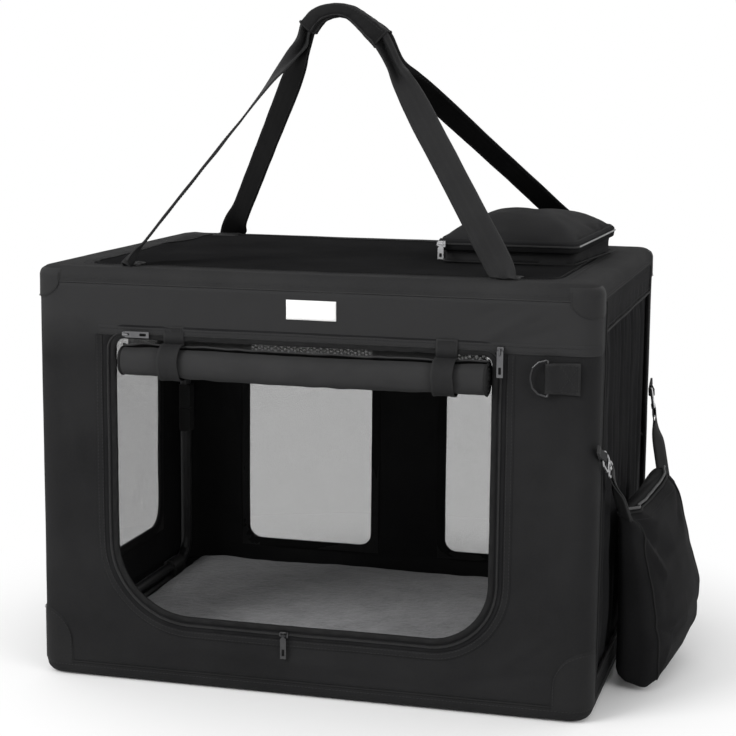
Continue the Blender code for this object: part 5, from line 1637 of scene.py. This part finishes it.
footPatch = dict(near=0.230, far=0.196, half=0.019, inset=0.004)
for word, side in (("front", -1), ("rear", 1)):
    for sign, end in ((-1, "Left"), (1, "Right")):  # the sewn patch that holds each strap's foot
        x = sign * strap["footX"][word]
        near, far = side * footPatch["near"], side * footPatch["far"]
        half = footPatch["half"] * strap["lean"][word, end.lower()][1]
        rows = []
        for v in steps(0, 1, 0.09):
            y = near + (far - near) * v
            row = []
            for t in steps(-1, 1, 0.17):
                edge = min(1.0, (1 - abs(t)) * 7) * min(1.0, min(v, 1 - v) * 8)
                lift = 0.0006 + 0.0017 * edge ** 0.5 + 0.0003 * swell(x + t * 0.01, y, 0.01, 95)
                row.append(onTop(x + half * t, y, lift))
            rows.append(row)
        title = word.capitalize() + end
        onRoof(sheet("strapPatch" + title, rows, strapWebbing, toward=(0, 0, 1), thick=0.0016), slot="webbing")
        inset = footPatch["inset"]
        inner = half - inset
        box = roundRect(x - inner, min(near, far) + inset, x + inner, max(near, far) - inset, 0)
        square = evenOutline(box, 0.002)
        crosses = [evenOutline([box[a], box[b]], 0.002, False) for a, b in ((0, 2), (1, 3))]
        seams = [[onTop(p.x, p.y, 0.0026) for p in seam] for seam in (square + square[:1], *crosses)]
        onRoof(sewn("strapPatchStitches" + title, seams, (0, 0, 1)), slot="webbing")
print("straps ready")

# pocket zip on the roof: dark tape, its coil along the front and up the right side, and piping; the coil's front run is
# painted dark as painted shade
seamRing = evenly(quadLine(pocket["corners"], pocket["bends"]), 0.004, True)
middle = Vector((*pocket["top"], 0))


def besideSeam(p, out, lift):
    q = p + (p - middle).normalized() * out
    return Vector((q.x, q.y, pocketSeam(p) + lift))


pocketTape = ((-0.0022, -0.0085), (-0.0004, -0.0072), (0.0006, -0.0030), (0.0010, 0.0), (0.0004, 0.0036),
    (-0.0022, 0.0062))
zipPart = [p for p in seamRing if p.y < 0.132 and (p.x > 0.150 or p.y < -0.050)]
rows = [[besideSeam(p, out, dz) for p in zipPart] for out, dz in pocketTape]
onRoof(sheet("pocketTape", rows, sideCloth, toward=(0.3, -1, 0), thick=0.0006), slot="webbing")
rightPart, frontPart = [p for p in zipPart if p.y > -0.050], [p for p in zipPart if p.y < -0.046]
# one silver zip: the right run is silver, the front run takes the dark coil cloth as painted shade
for name, part, radius, finish in (
        ("pocketCoil", rightPart, 0.0015, zipCoilSilver), ("pocketCoilFrontPaintedShade", frontPart, 0.0014, zipCoil)):
    line = [besideSeam(p, 0.0012, 0.0) for p in part]
    onRoof(cordRound(name, line, radius, finish, flat=0.75), slot="zip_metal")
for name, lift, out, share in (("pocketPipingLow", 0.0, 0.0, 1.02), ("pocketPipingHigh", 0.0006, 0.0012, 2.05)):
    path = [pocketPoint(p, share) + (p - middle).normalized() * out + Vector((0, 0, lift)) for p in seamRing]
    onRoof(cordRound(name, path, 0.0016, pipingCloth, 8, True), slot="webbing")
print("pocket zip ready")

# pouch at the right end, with its loops and hooks

pouch = dict(
    width=0.210, height=0.235, rear=0.82, depth=0.074, frontShare=0.80, top=0.46, taper=0.72, bulge=0.010,
    mouthDrop=0.016, y=-0.010, turn=math.radians(-6), z=0.240, stand=0.0035,
)
standOff = pouch["stand"] + pouch["width"] / 2 * math.sin(-pouch["turn"])
pouchPlace = Matrix.Translation((0.35 + standOff, pouch["y"], pouch["z"])) @ Matrix.Rotation(pouch["turn"], 4, "Z")
pouchCreases = [  # from y, down to y, down; how wide; how deep
    (-0.095, 0.012, -0.035, 0.085, 0.0065, -0.0075), (-0.080, 0.006, -0.010, 0.070, 0.0055, 0.0062),
    (-0.100, 0.030, -0.050, 0.110, 0.0060, 0.0048), (0.095, 0.006, 0.045, 0.065, 0.0070, -0.0055),
    (0.080, 0.020, 0.020, 0.110, 0.0080, 0.0030), (-0.090, 0.160, -0.020, 0.185, 0.0070, -0.0035),
    (0.060, 0.140, 0.095, 0.185, 0.0080, -0.0030), (-0.060, 0.190, -0.095, 0.225, 0.0060, 0.0030),
]


def pouchPoint(v, a):  # v down from the mouth, a the angle round the bag
    c, s = math.cos(a), math.sin(a)
    bottom = 1 - math.sqrt(max(0.0, 1 - (max(0.0, v - 0.93) / 0.07) ** 2))  # 0 on the sides, 1 along the lowest seam
    wide = pouch["width"] / 2 * (1 - 0.04 * math.sin(math.pi * min(1, v * 1.05))) * (1 - 0.03 * bottom)
    y = wide * math.copysign(abs(c) ** 0.34, c)
    rearward = y / pouch["width"] + 0.5
    deep = pouch["depth"] * (pouch["top"] + (1 - pouch["top"]) * min(1.0, v / pouch["taper"]))
    deep *= pouch["frontShare"] + (1 - pouch["frontShare"]) * rearward
    if v < 0.06:
        deep *= 0.62 + 0.38 * (v / 0.06)
    near, far = 0.52 * deep * bottom, deep * (1 - 0.16 * bottom)
    x = near + (far - near) * (0.5 + 0.5 * math.copysign(abs(s) ** 0.55, s))
    x += pouch["bulge"] * ease(0.0, 0.6, s) * math.sin(math.pi * v) ** 0.8 * (1 - (y / wide) ** 2) * 0.9
    down = v * pouch["height"] * (1 - (1 - pouch["rear"]) * rearward) + pouch["mouthDrop"] * (1 - rearward) * (1 - v)
    down += 0.010 * math.sin(math.pi * rearward) * (1 - v) ** 2  # the mouth hangs between its hooks
    rise = ease(-0.3, 0.5, s)
    x += rise * (0.0022 * swell(y, down, 0.05, 101) + 0.0010 * swell(y, down, 0.018, 102))
    for line in pouchCreases:
        x += rise * crease(y, down, line)
    return Vector((x, y, -down))


rows = []
for v in [k / 44 for k in range(45)]:
    rows.append([pouchPlace @ pouchPoint(v, 2 * math.pi * n / 72) for n in range(72)])
pouchBag = sheet("pouchBag", rows, pouchCloth, closed=True)
closeHoles(pouchBag)
pouchBag.data.shade_smooth()
pouchFold = dict(anchor=(0, 0, 0.018), keep=0.22)


def onPouch(piece, *nodes, slot="side_fabric"):
    return moves(piece, "pouch", nodes, pouchFold)


def besidePouch(v, a, x, z=0.0):  # a little off the bag
    return pouchPlace @ (pouchPoint(v, a) + Vector((x, 0, z)))


onPouch(pouchBag, "pouch_bag")
for name, turnedBy in (("pouchPipingFront", 133), ("pouchPipingRear", 47)):
    line = [besidePouch(0.02 + 0.95 * k / 40, math.radians(turnedBy), 0.0004) for k in range(41)]
    onPouch(cordRound(name, line, 0.0014, pipingCloth), slot="webbing")
mouth = [besidePouch(0.012, math.radians(a), 0, 0.0012) for a in range(0, 360, 5)]
onPouch(cordRound("pouchMouthPiping", mouth, 0.0019, pipingCloth, 8, True), slot="webbing")
zipMouth = []
for k in range(41):  # the zip lies along the outer edge of the mouth
    a = math.acos(math.copysign(abs(k / 20 - 1) ** (1 / 0.34), k - 20) * 0.94)
    zipMouth.append(besidePouch(0.0, a, 0.0006, 0.0036))
onPouch(cordRound("pouchZip", zipMouth, 0.0021, pouchCoil, flat=0.8), slot="zip_metal")
across = [besidePouch(0.05, math.radians(a), 0.0009) for a in range(45, 136, 3)]
onPouch(sewn("pouchStitches", [across], (1, 0, 0)), slot="webbing")

for word in ("front", "rear"):
    loop = fromNode("pouch_loop_" + word, "pouchLoop" + word.capitalize(), strapWebbing, 0.0002)
    moves(loop, "base", ["pouch_loop_" + word], pouchFold)
    hook = fromNode("pouch_hook_" + word, "pouchHook" + word.capitalize(), hookSteel)
    onPouch(hook, "pouch_hook_" + word, slot="zip_metal")


pouchTab = dict(
    eye=(0.35 + 0.0003 + 0.0014 + 0.0030, 0.235, 0.318), gap=0.0021, half=0.0060, flare=0.0022, thick=0.0012,
)
for side, word in ((-1, "Front"), (1, "Rear")):  # webbing from each hook's eye into the pouch, turning to face forward
    x, y, z = pouchTab["eye"]
    start = Vector((x, side * y, z))
    run = (pouchPlace @ Vector((0.0134, side * pouch["width"] * 0.46, 0)) - start).normalized()
    atEye = Vector((1, 0, 0)).cross(run).normalized()
    eye = start + run * (0.030 - 0.0008 + 0.008 + 0.0085)
    end = pouchPoint(0.045, math.pi if side < 0 else 0.0)
    end = pouchPlace @ Vector((end.x, end.y * 0.93, end.z))
    fall = (end - eye).normalized()
    facing = Vector((0.80, 0.60 * side, 0.0))
    facing = (facing - fall * facing.dot(fall)).normalized()
    if facing.dot(atEye) < 0:
        facing = -facing
    rows = []
    for k in range(-24, 25):
        t = max(0.0, (abs(k) - 3) / 21)
        across = atEye.lerp(facing, ease(0.0, 0.6, t)).normalized()
        out = fall.cross(across).normalized()
        turnOver = math.pi * k / 6 if abs(k) <= 3 else math.copysign(math.pi / 2, k)
        apart = pouchTab["gap"] - 0.0010 * ease(0.0, 0.3, t)
        p = eye.lerp(end, t) - fall * pouchTab["gap"] * math.cos(turnOver) + out * apart * math.sin(turnOver)
        half = pouchTab["half"] + pouchTab["flare"] * ease(0.0, 0.4, t)
        rows.append([p + across * half * n / 2 for n in range(-2, 3)])
    piece = sheet("pouchTab" + word, rows, strapWebbing, toward=(0, -1, 0))
    onPouch(thicken(piece, pouchTab["thick"], centred=True), slot="webbing")
print("pouch ready")

# carried-over CAD parts

for name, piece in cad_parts.items():
    if name.endswith(("_ring", "_frame")) and name != "front_ring":
        finish = coatedSteel
    elif "clip" in name or "knee" in name:
        finish = mouldedPlastic
    elif name in ("pocket_slider", "pocket_pull"):
        finish = silver
    elif name == "floor_board":
        finish = boardStiff
    else:
        continue
    piece.data.materials.clear()
    piece.data.materials.append(finish)
print("frame parts finished")

# floor, light and camera

studio = dict(key=100, fill=26, back=10, sky=0.80, floor=(0.90, 0.90, 0.90), near=0.36, far=0.72)


def seenRays(tree):  # 1 for what the camera sees, straight, mirrored or through
    rays = tree.nodes.new("ShaderNodeLightPath").outputs
    mirrored = maths(tree, "MAXIMUM", rays["Is Glossy Ray"], rays["Is Transmission Ray"])
    return maths(tree, "MAXIMUM", rays["Is Camera Ray"], mirrored)


ground = bmesh.new()
bmesh.ops.create_grid(ground, x_segments=60, y_segments=60, size=6.0)
material, tree, shader = nodesOf("studio floor")
stand = addObject("studioFloor", ground, material)
stand.location = (0, 0, -0.0004)
link = tree.links.new
pale = tones(tree, field(tree, 3.0, 4.0), 0.3, 0.7, tuple(c * 0.985 for c in studio["floor"]), studio["floor"])
link(pale, shader.inputs["Base Color"])
shader.inputs["Roughness"].default_value = 0.9
shader.inputs["Specular IOR Level"].default_value = 0.1
glow = add(tree, "ShaderNodeEmission")  # past the object's shadow the floor is plain white to the camera
blend = tree.nodes.new("ShaderNodeMixShader")
distance = add(tree, "ShaderNodeVectorMath", operation="LENGTH")
link(add(tree, "ShaderNodeTexCoord").outputs["Object"], distance.inputs[0])
fade = add(tree, "ShaderNodeMapRange", interpolation_type="SMOOTHSTEP")
fade.inputs[1].default_value = studio["near"]
fade.inputs[2].default_value = studio["far"]
link(distance.outputs["Value"], fade.inputs[0])
shown = maths(tree, "MULTIPLY", fade.outputs[0], seenRays(tree))
for k, source in enumerate((shown, shader.outputs[0], glow.outputs[0])):
    link(source, blend.inputs[k])
link(blend.outputs[0], tree.nodes["Material Output"].inputs["Surface"])

world = bpy.data.worlds.new("studio")
sceneNow.world = world
world.use_nodes = True
sky = world.node_tree
back = sky.nodes["Background"]
back.inputs[0].default_value = (1, 1, 1, 1)
sky.links.new(ranged(sky, seenRays(sky), target=(studio["sky"], 1)), back.inputs[1])


def softbox(name, place, aim, size, power):
    lamp = bpy.data.lights.new(name, "AREA")
    lamp.shape = "RECTANGLE"
    lamp.size, lamp.size_y = size
    lamp.energy = power
    made = bpy.data.objects.new(name, lamp)
    sceneNow.collection.objects.link(made)
    made.location = place
    made.rotation_euler = (Vector(aim) - Vector(place)).to_track_quat("-Z", "Y").to_euler()


softbox("keyLight", (-2.2, -2.6, 2.6), (0, 0, 0.3), (1.8, 1.8), studio["key"])
softbox("fillLight", (2.8, -2.0, 1.6), (0, 0, 0.3), (1.6, 1.6), studio["fill"])
softbox("backLight", (0.6, 2.4, 2.8), (0, 0, 0.5), (2.2, 1.2), studio["back"])

view = dict(around=15.19, above=9.05, roll=0.48, away=2.473, target=(0.007, 0.0, 0.370), lens=91.4)
az, el = math.radians(view["around"]), math.radians(view["above"])
backward = Vector((math.sin(az) * math.cos(el), -math.cos(az) * math.cos(el), math.sin(el)))
right = Vector((math.cos(az), math.sin(az), 0))
up = backward.cross(right)
tilt = math.radians(view["roll"])
right, up = right * math.cos(tilt) + up * math.sin(tilt), up * math.cos(tilt) - right * math.sin(tilt)
place = Vector(view["target"]) + backward * view["away"]
lens = bpy.data.cameras.new("photoCamera")
lens.lens = view["lens"]
lens.sensor_width = 36.0
lens.sensor_fit = "HORIZONTAL"
photoCamera = bpy.data.objects.new("photoCamera", lens)
sceneNow.collection.objects.link(photoCamera)
turned = Matrix((right, up, backward)).transposed().to_4x4()
photoCamera.matrix_world = Matrix.Translation(place) @ turned
sceneNow.camera = photoCamera
sceneNow.view_settings.view_transform = "Standard"
